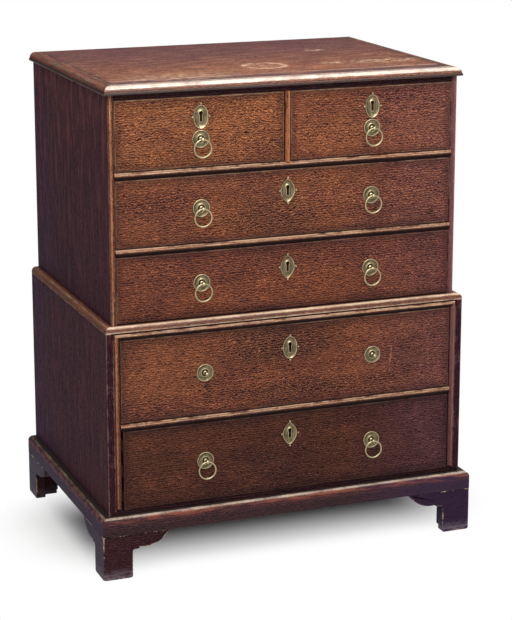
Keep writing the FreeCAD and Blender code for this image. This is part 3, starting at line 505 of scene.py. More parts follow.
def top_marks(place):
    """The top's marks: a band of painted shade behind its front moulding, a pale broken line along its front,
    a dark seam at its edges, streaks, more painted shade towards the back, a cup's ring and pale scuffs.
    """
    front = part_of(place, Y)
    line = fade(abs(front - TOP_LINE), 8 * MM, 2 * MM) * streaks(place, (14, 30, 0), 0.34, 0.56)
    cup = vectors("LENGTH", vectors("MULTIPLY", vectors("SUBTRACT", place, CUP_PLACE), (1, 1, 0)))
    ring = fade(abs(cup - CUP_RADIUS), 9 * MM, 2 * MM) * streaks(place, (60, 90, 0), 0.36, 0.6)
    bloom = fade(cup, 46 * MM, 20 * MM) * streaks(place, (70, 120, 0), 0.45, 0.65)
    # The first layer is a band of painted shade behind the front moulding; the sixth is painted shade towards
    # the back.
    layers = [(fade(front, TOP_FRONT + 38 * MM, TOP_FRONT + 24 * MM), 0.85, (62, 46, 50)),
              (line, 0.4, (190, 172, 164)),
              (fade(carried(place, "arris"), 8 * MM, 3 * MM), 0.85, (30, 16, 18)),
              (streaks(place, (9, 80, 0), 0.46, 0.6), 0.5, (72, 40, 40)),
              (streaks(place, (13, 110, 0), 0.5, 0.62), 0.32, (184, 126, 98)),
              (fade(front, -0.06, 0.22), 0.5, (72, 40, 50)),
              (ring, 0.65, (218, 180, 158)),
              (bloom, 0.35, (206, 164, 136))]
    for centre, size, strength in TOP_SCUFFS:
        scuffs = patch(place, centre, size) * streaks(place, (45, 150, 0), 0.49, 0.62)
        layers.append((scuffs, strength, (220, 196, 166)))
    return layers


def top_end_marks(place):
    """The marks on the top's end mouldings: reddish streaks, painted shade in the quirk, and a pale lower
    edge.
    """
    height = part_of(place, Z) - UPPER_TOP
    worn = fade(height, 6 * MM, 10 * MM) * streaks(place, (160, 14, 160), 0.42, 0.62)
    # Painted shade: a dark line in the quirk.
    quirk = fade(abs(height - 5 * MM), 1.8 * MM, 0.5 * MM)
    edge = fade(height, 1.5 * MM, 0.4 * MM) * streaks(place, (20, 20, 20), 0.3, 0.5)
    return [(worn, 0.5, (136, 66, 54)), (quirk, 0.9, (18, 10, 14)), (edge, 0.55, (170, 156, 154))]


def side_tones(place):
    """The sides' tones: a painted cool reflection that turns them bluer to the back, browner to the front,
    and lighter and redder towards the top.
    """
    back, height = part_of(place, Y), part_of(place, Z)
    cloud = fade(height, 0.5, 0.95) * streaks(place, (0, 45, 10), 0.42, 0.62)
    return [(fade(back, 0.08, 0.27), 0.65, (74, 54, 104)),
            (fade(back, -0.08, -0.26), 0.35, (98, 54, 42)),
            (cloud, 0.5, (134, 66, 66)),
            (streaks(place, (0, 75, 7), 0.5, 0.64), 0.6, (28, 12, 20)),
            (fade(height, 0.8, 0.97), 0.6, (134, 72, 70)),
            (fade(facing(place, Y), -0.5, -0.9), 0.7, (36, 19, 24))]


def side_marks(place):
    """The sides' marks: dark streaks down the grain, and browner ones towards the top."""
    upper = fade(part_of(place, Z), 0.5, 0.95, 0.25, 1.0)
    return [(streaks(place, (0, 90, 6), 0.48, 0.6), 0.5, (24, 12, 28)),
            (upper * streaks(place, (0, 62, 10), 0.5, 0.62), 0.6, (112, 62, 64))]


DARK_MARK = (32, 17, 19)
LIGHT_OAK = (186, 116, 68)
PALE_SCRATCH = (196, 140, 108)
SCRATCH_WIDTH = 1.6 * MM
SCRATCH_END = 3 * MM

# Marks on the drawer fronts: where across and up, how large across and up, how strong, and what colour.
FRONT_MARKS = {
    "short_left": (((-0.085, 0.868), (0.008, 0.01), 0.8, DARK_MARK),
                   ((-0.25, 0.9), (0.1, 0.04), 0.25, LIGHT_OAK)),
    "short_right": (((0.1, 0.87), (0.09, 0.03), 0.2, LIGHT_OAK),),
    "second": (((0.309, 0.68), (0.014, 0.012), 0.9, DARK_MARK),
               ((-0.03, 0.695), (0.14, 0.05), 0.75, DARK_MARK)),
    "third": (((0.273, 0.573), (0.01, 0.011), 0.9, DARK_MARK),),
    "fourth": (((-0.27, 0.41), (0.13, 0.09), 0.4, LIGHT_OAK),
               ((-0.173, 0.356), (0.013, 0.036), 0.85, DARK_MARK),
               ((-0.02, 0.45), (0.18, 0.065), 0.9, DARK_MARK),
               ((0.05, 0.345), (0.33, 0.024), 0.6, DARK_MARK)),
    "fifth": (((-0.28, 0.23), (0.12, 0.08), 0.16, LIGHT_OAK),
              ((0.02, 0.2), (0.2, 0.06), 0.3, DARK_MARK)),
}
FRONT_SCRATCHES = {"fourth": (((0.2225, 0.41), (0.218, 0.359)), ((0.203, 0.421), (0.207, 0.414)))}


def scratch(place, start, end):
    """One along a broken scratch on a front, from one place to another, each given across and up."""
    first, last = (Vector((x, 0, z)) for x, z in (start, end))
    length = (last - first).length
    way = tuple((last - first) / length)
    flat = vectors("MULTIPLY", vectors("SUBTRACT", place, tuple(first)), (1, 0, 1))
    run = vectors("DOT_PRODUCT", flat, way)
    aside = vectors("LENGTH", vectors("CROSS_PRODUCT", flat, way))
    share = fade(aside, SCRATCH_WIDTH, SCRATCH_WIDTH / 3) * fade(run, 0, SCRATCH_END)
    return share * fade(run, length, length - SCRATCH_END) * streaks(place, (90, 90, 90), 0.35, 0.5)


def painted_cool_reflection(place, strength, tone):
    """A painted cool reflection: a bluer tone towards the right end of the front."""
    return fade(part_of(place, X), 0.08, 0.38), strength, tone


def front_tones(place, drawer):
    """The tones of one drawer front: its painted cool reflection, and its dark and light places."""
    return [painted_cool_reflection(place, 0.45, (108, 74, 108))] + [
        (patch(place, (x, 0, z), (width, 0, height)), strength, tone)
        for (x, z), (width, height), strength, tone in FRONT_MARKS[drawer]]


def front_marks(place, drawer):
    """The marks on one drawer front: its scratches."""
    return [(scratch(place, *ends), 0.36, PALE_SCRATCH) for ends in FRONT_SCRATCHES.get(drawer, ())]


def rail_highlight_and_shade(place):
    """The rails' beads: a painted highlight along the top, and painted shade underneath."""
    up = facing(place, Z)
    painted_highlight = fade(up, 0.5, 0.8) * streaks(place, (30, 30, 30), 0.36, 0.58)
    return [(fade(up, 0.3, -0.25), 0.9, (18, 9, 10)), (painted_highlight, 0.5, (206, 170, 138))]


def upright_marks(place):
    """The upright beads' marks: pale in the middle, a painted cool reflection to the right, and darker
    towards the floor.
    """
    middle = fade(abs(part_of(place, X)), 30 * MM, 20 * MM)
    return [painted_cool_reflection(place, 0.5, (112, 72, 82)),
            (middle * streaks(place, (260, 40, 30), 0.36, 0.6), 0.55, (176, 110, 72)),
            (fade(part_of(place, Z), 0.42, 0.2), 0.45, (74, 36, 34))]


def base_painted_cool_shade(place):
    """The painted light of base and feet: a painted cool reflection to the right, and bluer painted shade on
    the ends, which see less of the light.
    """
    return [painted_cool_reflection(place, 0.6, (42, 29, 58)),
            (fade(abs(facing(place, X)), 0.5, 0.9), 0.5, (44, 36, 66))]


def foot_marks(place):
    """The feet's marks: the base's painted cool reflection and shade, and scuffed and dusty towards the
    floor.
    """
    scuffed = fade(part_of(place, Z), 26 * MM, 4 * MM) * streaks(place, (50, 50, 170), 0.34, 0.58)
    return base_painted_cool_shade(place) + [(scuffed, 0.6, (122, 108, 118))]


def base_marks(place):
    """The base's marks: the painted cool reflection and shade, reddish streaks under its crown, and dust on
    its flat top.
    """
    height = part_of(place, Z)
    under = fade(height, BASE_TOP - MM, BASE_TOP - 4 * MM)
    face = fade(carried(place, "arris"), 18 * MM, 3 * MM) * under
    flat = fade(height, BASE_TOP - 1.2 * MM, BASE_TOP - 0.3 * MM)
    return base_painted_cool_shade(place) + [(face * streaks(place, (16, 60, 160), 0.43, 0.62), 0.6, (144, 80, 60)),
                                (flat, 0.85, (36, 34, 29))]


# Making pieces

def put(name, data):
    """A new object in the scene."""
    made = bpy.data.objects.new(name, data)
    bpy.context.scene.collection.objects.link(made)
    return made


def poured(shape, name):
    """A new mesh of a shape, which is used up."""
    mesh = bpy.data.meshes.new(name)
    shape.to_mesh(mesh)
    shape.free()
    return mesh


def carry(mesh, name, values):
    """Puts a value on each point of a mesh."""
    mesh.attributes.new(name, "FLOAT", "POINT").data.foreach_set("value", values)


def fresh_copy(node):
    """A copy of a node's mesh with its triangles merged."""
    shape = bmesh.new()
    shape.from_mesh(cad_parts[node].data)
    bmesh.ops.remove_doubles(shape, verts=shape.verts, dist=MERGE_GAP)
    return shape


def boards_of(shape):
    """The separate boards of a merged copy, each as a shape of its own, in the order of their faces."""
    shape.verts.ensure_lookup_table()
    shape.faces.ensure_lookup_table()
    left = set(shape.faces)
    found = []
    for start in shape.faces:
        if start not in left:
            continue
        left.remove(start)
        todo = [start]
        board = bmesh.new()
        points = {}
        while todo:
            face = todo.pop()
            for vert in face.verts:
                if vert.index not in points:
                    points[vert.index] = board.verts.new(vert.co)
            board.faces.new([points[vert.index] for vert in face.verts])
            for edge in face.edges:
                for other in edge.link_faces:
                    if other in left:
                        left.remove(other)
                        todo.append(other)
        board.normal_update()
        found.append(board)
    shape.free()
    return found


def box_of(shape):
    """The lowest and highest corner of a shape."""
    points = [vert.co for vert in shape.verts]
    return [Vector([pick(point[i] for point in points) for i in range(3)]) for pick in (min, max)]


def side_gaps(point, low, high):
    """How far a point lies from each of the six sides of a box."""
    return [gap for i in range(3) for gap in (point[i] - low[i], high[i] - point[i])]


def ease_board(board, seen, low, high):
    """Eases the arrises round the seen side of a board, and rules the lines across which wear fades."""
    bmesh.ops.dissolve_limit(board, angle_limit=FLAT_TURN, verts=board.verts, edges=board.edges)
    for i, direction in enumerate((ACROSS, DEEP, UP)):
        for gap in FADE_LINES:
            if high[i] - low[i] > 3 * gap:
                for level in (low[i] + gap, high[i] - gap):
                    everything = board.verts[:] + board.edges[:] + board.faces[:]
                    bmesh.ops.bisect_plane(board, geom=everything, dist=MERGE_GAP / 10,
                                           plane_co=direction * level, plane_no=direction)
    arrises = []
    for edge in board.edges:
        first, second = (side_gaps(vert.co, low, high) for vert in edge.verts)
        shared = [i for i in range(6) if first[i] < MERGE_GAP and second[i] < MERGE_GAP]
        if len(shared) > 1 and seen in shared:
            arrises.append(edge)
    bmesh.ops.bevel(board, geom=arrises, offset=BOARD_EASE, offset_type="OFFSET", segments=2, profile=0.5,
                    affect="EDGES", clamp_overlap=False)


def mesh_of(shape, name, places=None, gaps=None):
    """A smooth-shaded mesh of a shape, with its grain and arris values where they are given."""
    mesh = poured(shape, name)
    if places is not None:
        grain = mesh.attributes.new("grain", "FLOAT_VECTOR", "POINT")
        grain.data.foreach_set("vector", [part for place in places for part in place])
        carry(mesh, "arris", gaps)
    mesh.shade_smooth()
    mesh.set_sharp_from_angle(angle=SHARP_TURN)
    return mesh


def cut_from(seed):
    """How far along and across its plank a board was cut."""
    draw = random.Random(seed)
    return Vector([draw.uniform(-PLANK_REACH, PLANK_REACH) for _ in range(3)])


def grain_places(shape, axis, seed):
    """The points of a shape as the grain sees them, with the grain's own direction first."""
    cut = cut_from(seed)
    return [Vector([vert.co[(axis + i) % 3] for i in range(3)]) + cut for vert in shape.verts]


def join(name, meshes, *finishes):
    """One object from several meshes, used up. Finishes go to them in turn, the last to the rest."""
    shape = bmesh.new()
    for count, mesh in enumerate(meshes):
        mesh.polygons.foreach_set("material_index", [min(count, len(finishes) - 1)] * len(mesh.polygons))
        shape.from_mesh(mesh)
        bpy.data.meshes.remove(mesh)
    joined = poured(shape, name)
    for finish in finishes:
        joined.materials.append(finish)
    joined.set_sharp_from_angle(angle=SHARP_TURN)
    return put(name, joined)


def settle(piece, body, slot, *nodes):
    """Puts a finished piece on its body, in place of its solids. The slot is not used."""
    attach(piece, body)
    if nodes:
        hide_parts(*nodes)


def worn_boards(node, name, axis, seen, finish, seed, planed=0.0):
    """A node's boards with their grain along an axis, eased round the seen side, and planed on the back.

    Without a seen side, it is the left of boards on the left, and the right of the others.
    """
    meshes = []
    for count, board in enumerate(boards_of(fresh_copy(node))):
        low, high = box_of(board)
        high.y -= planed
        for vert in board.verts:
            vert.co.y = min(vert.co.y, high.y)
        outer = LEFT if low.x < 0 else RIGHT
        ease_board(board, outer if seen is None else seen, low, high)
        gaps = [max(0.0, sorted(side_gaps(vert.co, low, high))[1]) for vert in board.verts]
        meshes.append(mesh_of(board, name, grain_places(board, axis, seed + count), gaps))
    return join(name, meshes, finish)


# Runs of moulding and bead, and nails

def end_tree(tree, out, label, geometry, finish):
    """Ends a geometry tree, with its copies made real and its finish set."""
    real = add(tree, "GeometryNodeRealizeInstances", {"Geometry": geometry})[0]
    fill(out, {label: add(tree, "GeometryNodeSetMaterial", {"Geometry": real, "Material": finish})[0]})
    return tree


def make_run_tree():
    """A section drawn along a straight run, with square or mitred ends and a slight wander of the hand."""
    tree, given, out = new_tree(
        "run_of_moulding", "GeometryNodeTree",
        [("Section", "Geometry"), ("Start", "Float"), ("End", "Float"), ("Mitre at Start", "Float"),
         ("Mitre at End", "Float"), ("Steps", "Int", 2), ("Wander", "Float"), ("Seed", "Float"),
         ("Finish", "Material")],
        [("Run", "Geometry")])
    line = add(tree, "GeometryNodeCurvePrimitiveLine", {"Start": (0, 0, 0), "End": (1, 0, 0)})[0]
    steps = add(tree, "GeometryNodeResampleCurve", {"Curve": line, "Count": given["Steps"]})[0]
    share = add(tree, "GeometryNodeSplineParameter")["Factor"]
    ruled = add(tree, "GeometryNodeStoreNamedAttribute",
                {"Geometry": steps, "Name": "along", "Value": share}, data_type="FLOAT")[0]
    section = add(tree, "GeometryNodeMeshToCurve", {"Mesh": given["Section"]})[0]
    swept = add(tree, "GeometryNodeCurveToMesh",
                {"Curve": ruled, "Profile Curve": section, "Fill Caps": True})[0]
    along, reach, outward, loose, up = (
        add(tree, "GeometryNodeInputNamedAttribute", {"Name": name}, data_type="FLOAT")[0]
        for name in ("along", "reach", "out", "loose", "up"))
    start = given["Start"] - given["Mitre at Start"] * reach
    end = given["End"] + given["Mitre at End"] * reach
    x = start + (end - start) * along
    where = add(tree, "ShaderNodeCombineXYZ", {X: x * WANDER_RATE, Y: given["Seed"]})[0]
    wave = add(tree, "ShaderNodeTexNoise", {"Vector": where, "Scale": 1.0, "Detail": 1.0})[0]
    hand = (wave - 1.0) * given["Wander"]
    away = (outward + hand * loose) * -1.0
    spot = add(tree, "ShaderNodeCombineXYZ", {X: x, Y: away, Z: up})[0]
    placed = add(tree, "GeometryNodeSetPosition", {"Geometry": swept, "Position": spot})[0]
    return end_tree(tree, out, "Run", placed, given["Finish"])


NAIL_HEAD = 3.2 * MM
NAIL_RISE = 0.8 * MM
NAIL_SUNK = 0.15 * MM
NAIL_EDGE = 14 * MM
NAIL_SHARES = (0.16, 0.5, 0.84)
NAIL_TIP = 0.05
NAIL_SIDES = 8
NAIL_CROWN = 0.45
NAIL_SEED = 7


def make_nail_tree():
    """Hammered nail heads set out on places, each turned and tipped a little at random."""
    tree, given, out = new_tree(
        "nails_set_out", "GeometryNodeTree",
        [("Places", "Geometry"), ("Head", "Float"), ("Rise", "Float"), ("Seed", "Int"),
         ("Finish", "Material")],
        [("Nails", "Geometry")])
    head = add(tree, "GeometryNodeMeshCone", {
        "Vertices": NAIL_SIDES, "Radius Top": given["Head"] * NAIL_CROWN,
        "Radius Bottom": given["Head"], "Depth": given["Rise"]})["Mesh"]
    outward = -math.pi / 2
    turn = add(tree, "FunctionNodeRandomValue",
               {0: (outward - NAIL_TIP, 0, -NAIL_TIP), 1: (outward + NAIL_TIP, math.tau, NAIL_TIP),
                "Seed": given["Seed"]}, data_type="FLOAT_VECTOR")[0]
    spread = add(tree, "GeometryNodeInstanceOnPoints",
                 {"Points": given["Places"], "Instance": head, "Rotation": turn})[0]
    return end_tree(tree, out, "Nails", spread, given["Finish"])


RUN_TREE = make_run_tree()
NAIL_TREE = make_nail_tree()


def grown(mesh, tree, inputs):
    """A plain mesh of what a geometry tree makes from a mesh, with inputs by the names of their sockets."""
    carrier = put("carrier", mesh)
    modifier = carrier.modifiers.new("tree", "NODES")
    modifier.node_group = tree
    for item in tree.interface.items_tree:
        if item.name in inputs:
            modifier[item.identifier] = inputs[item.name]
    graph = bpy.context.evaluated_depsgraph_get()
    made = bpy.data.meshes.new_from_object(carrier.evaluated_get(graph), depsgraph=graph)
    carrier.modifiers.remove(modifier)
    bpy.data.objects.remove(carrier)
    bpy.data.meshes.remove(mesh)
    return made


def arc(centre, radius, start, end, steps):
    """Points on an arc in a section, by angles in degrees from the out direction."""
    turns = [math.radians(start + (end - start) * i / steps) for i in range(steps + 1)]
    return [(centre[0] + radius * math.cos(t), centre[1] + radius * math.sin(t)) for t in turns]


Run = namedtuple("Run", "at along out up start end mitre_start mitre_end")


def run_mesh(points, worn, run, finish, seed, reach_up=False):
    """One run of a section of (out, up) points, rubbed and given a painted highlight near its worn points,
    set in its place.
    """
    section = bpy.data.meshes.new("section")
    count = len(points)
    section.from_pydata([(out, up, 0) for out, up in points],
                        [(i, (i + 1) % count) for i in range(count)], [])
    widest = max(out for out, up in points)
    rows = {
        "out": [out for out, up in points],
        "up": [up for out, up in points],
        "reach": [up if reach_up else out for out, up in points],
        "loose": [out / widest for out, up in points],
        "arris": [min(math.dist(point, spot) for spot in worn) for point in points],
    }
    for name, values in rows.items():
        carry(section, name, values)
    mesh = grown(section, RUN_TREE, {
        "Start": run.start, "End": run.end, "Mitre at Start": run.mitre_start, "Mitre at End": run.mitre_end,
        "Steps": RUN_STEPS, "Wander": WANDER, "Seed": float(seed), "Finish": finish})
    gaps = [0.0] * len(mesh.vertices)
    mesh.attributes["arris"].data.foreach_get("value", gaps)
    shape = bmesh.new()
    shape.from_mesh(mesh)
    bpy.data.meshes.remove(mesh)
    layers = shape.verts.layers.float
    for name in layers.keys():
        layers.remove(layers[name])
    places = grain_places(shape, X, seed)
    turned = Matrix((run.along, -run.out, run.up)).transposed().to_4x4()
    shape.transform(Matrix.Translation(run.at) @ turned)
    shape.normal_update()
    if shape.calc_volume(signed=True) < 0:
        bmesh.ops.reverse_faces(shape, faces=shape.faces)
    return mesh_of(shape, "run", places, gaps)


# Mouldings

def top_section():
    """The thumb moulding of the top, as (out, up) points, with the points where it is rubbed and carries a
    painted highlight.
    """
    reach = highest("top_moulding").x - TOP_HALF
    thick = highest("top_moulding").z - UPPER_TOP
    lip, quirk, radius, ease = 4.5 * MM, 1.5 * MM, 12 * MM, 0.7 * MM
    lip_low = arc((reach - ease, ease), ease, -90, 0, EASE_STEPS)
    lip_high = arc((reach - ease, lip - ease), ease, 0, 90, EASE_STEPS)
    crown = arc((reach - quirk - radius, thick - radius), radius, 0, 90, CROWN_STEPS)
    inner = [(3.2 * MM, thick), (1.2 * MM, thick), (0, thick - 1.2 * MM)]
    points = [(0, 0), (reach - 4 * MM, 0)] + lip_low + lip_high + crown + inner
    return points, [crown[6], crown[8], crown[10], inner[1]]


def rounded_section(node, half, radius, low_rubbed=True):
    """A moulding with a quarter round on its upper outer edge, with the points where it is rubbed and carries
    a painted highlight.
    """
    step = highest(node).x - half
    height = highest(node).z - lowest(node).z
    ease = 0.6 * MM
    low = arc((step - ease, ease), ease, -90, 0, EASE_STEPS)
    crown = arc((step - radius, height - radius), radius, 0, 90, CROWN_STEPS)
    points = [(0, 0), (step - 4 * MM, 0)] + low + [(step, 3 * MM)] * (height - radius > 4 * MM) + crown
    points += [(1.5 * MM, height), (0, height)]
    return points, [low[1]] * low_rubbed + [crown[9], crown[11]]


def three_runs(node, name, section, half, front, finishes, seed):
    """A moulding's front and side runs, mitred in front, in a finish for the front and one for the sides."""
    low = lowest(node).z
    runs = [Run(Vector((0, front, low)), ACROSS, -DEEP, UP, -half, half, 1, 1)]
    for side in (1, -1):
        runs.append(Run(Vector((side * half, 0, low)), DEEP, side * ACROSS, UP, front, BACK, 1, 0))
    meshes = [run_mesh(*section, run, finishes[0], seed + i) for i, run in enumerate(runs)]
    return join(name, meshes, *finishes)


def bead_section(width):
    """A half-round bead, with the point on its crown where it is rubbed and carries a painted highlight."""
    radius = (width * width / 4 + BEAD_RISE * BEAD_RISE) / (2 * BEAD_RISE)
    half_turn = math.degrees(math.acos((radius - BEAD_RISE) / radius))
    points = arc((BEAD_RISE - radius, width / 2), radius, -half_turn, half_turn, BEAD_STEPS)
    return points, [points[8]]


BEAD_SEED = 300


def front_beads(upright, level):
    """The nine beads on stiles, rails and muntin, in a finish for uprights and one for the rest."""
    stile, rail, muntin = (bead_section(width) for width in (STILE_BEAD, RAIL_BEAD, MUNTIN_BEAD))
    ceiling = above("fourth") + BEAD_MARGIN
    stiles = ((UPPER_FRONT, highest("waist_moulding").z, UPPER_TOP, 0),
              (LOWER_FRONT, below("fifth") + BEAD_FOOT_GAP, ceiling, 1))
    rails = ((UPPER_FRONT, "second"), (UPPER_FRONT, "third"), (LOWER_FRONT, "fifth"))
    rows = []
    for side in (1, -1):
        for face, foot, head, mitre in stiles:
            at = Vector((side * BEAD_INNER, face, 0))
            rows.append((stile, Run(at, UP, -DEEP, side * ACROSS, foot, head, 0, mitre)))
    for face, drawer in rails:
        at = Vector((0, face, above(drawer) + BEAD_MARGIN))
        rows.append((rail, Run(at, ACROSS, -DEEP, UP, -BEAD_INNER, BEAD_INNER, 0, 0)))
    rows.append((muntin, Run(Vector((-MUNTIN_BEAD / 2, UPPER_FRONT, 0)), UP, -DEEP, ACROSS,
                             below("short_left") - BEAD_MARGIN, above("short_left"), 0, 0)))
    rows.append((stile, Run(Vector((0, LOWER_FRONT, ceiling)), ACROSS, -DEEP, UP,
                            -BEAD_INNER, BEAD_INNER, 1, 1)))
    finishes = [upright if run.along == UP else level for section, run in rows]
    meshes = [run_mesh(*section, run, finish, BEAD_SEED + i, reach_up=True)
              for i, ((section, run), finish) in enumerate(zip(rows, finishes))]
    # The beads' pale crowns are partly wear and partly a painted highlight, and their darker sides partly
    # painted shade.
    return join("front_beads_rubbed", meshes, *finishes)


# Bracket feet

BRACKET_THICK = 20 * MM
BRACKET_RUN = 136 * MM
LEG_WIDTH = 60 * MM
LEG_HEIGHT = 58.5 * MM
LEG_FILLET = 5 * MM
FOOT_CORNER = 5 * MM
LEDGE_RUN = 14 * MM
LEDGE_STEP = 4.5 * MM
WING_RADIUS = 57 * MM
REAR_THICK = 16 * MM
REAR_RUN = 130 * MM
BLOCK_SIZE = 30 * MM
BLOCK_LIFT = 2 * MM
BLOCK_EASE = 1.5 * MM
FACE_RINGS = (3.5 * MM, 1.5 * MM, 0)
FILLET_STEPS, WING_STEPS, CORNER_STEPS = 5, 16, 4
CORNER_LIMIT = 0.25
BRACKET_SEED = 400
BLOCK_SEED = 450


def bracket_outline():
    """A bracket's face as (run, height) points, with run measured from the outer corner."""
    start, low = LEG_WIDTH + LEDGE_RUN, LEG_HEIGHT + LEDGE_STEP
    run, rise = BRACKET_RUN - start, FOOT_TOP - low
    chord = math.hypot(run, rise)
    sag = math.sqrt(WING_RADIUS ** 2 - chord ** 2 / 4)
    centre = ((start + BRACKET_RUN) / 2 - sag * rise / chord, (low + FOOT_TOP) / 2 + sag * run / chord)
    first = math.degrees(math.atan2(low - centre[1], start - centre[0]))
    last = math.degrees(math.atan2(FOOT_TOP - centre[1], BRACKET_RUN - centre[0]))
    fillet = arc((LEG_WIDTH + LEG_FILLET, LEG_HEIGHT - LEG_FILLET), LEG_FILLET, 180, 90, FILLET_STEPS)
    wing = arc(centre, WING_RADIUS, first, last, WING_STEPS)
    outer = arc((FOOT_CORNER, FOOT_CORNER), FOOT_CORNER, 180, 270, CORNER_STEPS)
    inner = arc((LEG_WIDTH - FOOT_CORNER, FOOT_CORNER), FOOT_CORNER, 270, 360, CORNER_STEPS)
    return outer + inner + fillet + [(start, LEG_HEIGHT)] + wing + [(0, FOOT_TOP)]


def drawn_in(outline, by):
    """An outline, counter-clockwise, drawn in by a distance all round."""
    points = [Vector(point) for point in outline]
    moved = []
    for i, point in enumerate(points):
        before = (point - points[i - 1]).normalized()
        after = (points[(i + 1) % len(points)] - point).normalized()
        inward = Vector((-before.y - after.y, before.x + after.x))
        inward = inward / max(CORNER_LIMIT, inward.length_squared / 2)
        moved.append(point + inward * by)
    return moved


def bracket_mesh(outline, thick, mitred, spot, run, depth, seed):
    """A bracket with its face's arrises eased: from its outer corner it runs one way and goes in another."""
    part = FOOT_EASE * (1 - math.sqrt(0.5))
    rings = [(0, FOOT_EASE + inset, FOOT_EASE + inset) for inset in FACE_RINGS]
    rings += [(part, part, 0), (FOOT_EASE, 0, FOOT_EASE), (thick, 0, thick)]
    cut = cut_from(seed)
    shape = bmesh.new()
    rows, gaps, places = [], [], []
    for level, inset, gap in rings:
        row = []
        for along_run, up in drawn_in(outline, inset):
            if mitred:
                along_run = max(along_run, level)
            row.append(shape.verts.new(spot + run * along_run + depth * level + UP * up))
            places.append(Vector((along_run, level, up)) + cut)
            gaps.append(gap)
        rows.append(row)
    shape.faces.new(rows[0])
    shape.faces.new(list(reversed(rows[-1])))
    for inner, outer in zip(rows, rows[1:]):
        for i in range(len(inner)):
            shape.faces.new((inner[i - 1], inner[i], outer[i], outer[i - 1]))
    bmesh.ops.recalc_face_normals(shape, faces=shape.faces)
    return mesh_of(shape, "bracket", places, gaps)


def block_mesh(low, high, seed):
    """A glue block with its arrises knocked off."""
    shape = bmesh.new()
    bmesh.ops.create_cube(shape, size=1)
    for vert in shape.verts:
        vert.co = Vector([low[i] if vert.co[i] < 0 else high[i] for i in range(3)])
    bmesh.ops.bevel(shape, geom=shape.edges, offset=BLOCK_EASE, segments=1, profile=0.5, affect="EDGES")
    places = grain_places(shape, Z, seed)
    return mesh_of(shape, "block", places, [BLOCK_SIZE] * len(places))


def bracket_feet(finish):
    """Two mitred pairs of brackets in front, side and rear brackets behind, and four glue blocks."""
    outline = bracket_outline()
    rear = [(BRACKET_THICK, 0), (LEG_WIDTH, 0), (LEG_WIDTH, LEG_HEIGHT), (REAR_RUN, FOOT_TOP),
            (BRACKET_THICK, FOOT_TOP)]
    meshes = []
    for side in (1, -1):
        inward = -side * ACROSS
        front = Vector((side * BASE_HALF, BASE_FRONT, 0))
        behind = Vector((side * BASE_HALF, BACK, 0))
        rows = [(outline, BRACKET_THICK, True, front, inward, DEEP),
                (outline, BRACKET_THICK, True, front, DEEP, inward),
                (outline, BRACKET_THICK, False, behind, -DEEP, inward),
                (rear, REAR_THICK, False, behind, inward, -DEEP)]
        for count, row in enumerate(rows):
            meshes.append(bracket_mesh(*row, BRACKET_SEED + 10 * side + count))
        for corner, way, thick in ((front, DEEP, BRACKET_THICK), (behind, -DEEP, REAR_THICK)):
            first = corner + inward * BRACKET_THICK + way * thick + UP * BLOCK_LIFT
            second = first + (inward + way) * BLOCK_SIZE
            low = [min(pair) for pair in zip(first, second)]
            high = [max(pair) for pair in zip(first, second)]
            meshes.append(block_mesh(low, (high[X], high[Y], FOOT_TOP), BLOCK_SEED + side))
    return join("bracket_feet_worn", meshes, finish)


# Brasses

SCUTCHEON_REACH = 25 * MM
SCUTCHEON_HALF = 23.2 * MM
SCUTCHEON_DRAWN = 0.4
POINTED_PLATES = ("second", "third", "fifth")


def draw_to_points(shape):
    """Draws in the ends of the oval keyhole plate in the middle of a drawer's brasses."""
    plate = [vert for vert in shape.verts if abs(vert.co.x) < SCUTCHEON_REACH]
    middle = (min(vert.co.z for vert in plate) + max(vert.co.z for vert in plate)) / 2
    for vert in plate:
        up = (vert.co.z - middle) / SCUTCHEON_HALF
        if abs(up) <= 1:
            vert.co.x *= 1 - SCUTCHEON_DRAWN * up * up


def smooth_copy(node, name, face, finish, pointed=False):
    """A merged and smooth-shaded copy of a brass, marked with how far it stands proud of a drawer's face."""
    shape = fresh_copy(node)
    if pointed:
        draw_to_points(shape)
    mesh = mesh_of(shape, name)
    carry(mesh, "proud", [face - vert.co.y for vert in mesh.vertices])
    return join(name, [mesh], finish)


# The chest

WAIST_RADIUS = 9.5 * MM
BASE_RADIUS = 10 * MM
# The base's dirt and painted shade away from its crown, with its marks and its painted cool reflection and
# shade.
BASE_SHADE_AND_DIRT = {"hollow_dirt_and_shade": (0.008, 0.024), "dirt": 0.35, "extra": base_marks}
DULL = {"roughness": 0.5, "shine": 0.04}
ALONG_X, ALONG_Y = (0, 0, 0), (0, 0, -math.pi / 2)
TOP_SEED, SIDE_SEED, TOP_RUN_SEED, WAIST_SEED, BASE_SEED = 10, 25, 50, 60, 70
DRAWER_SEED, BACK_SEED = 100, 500


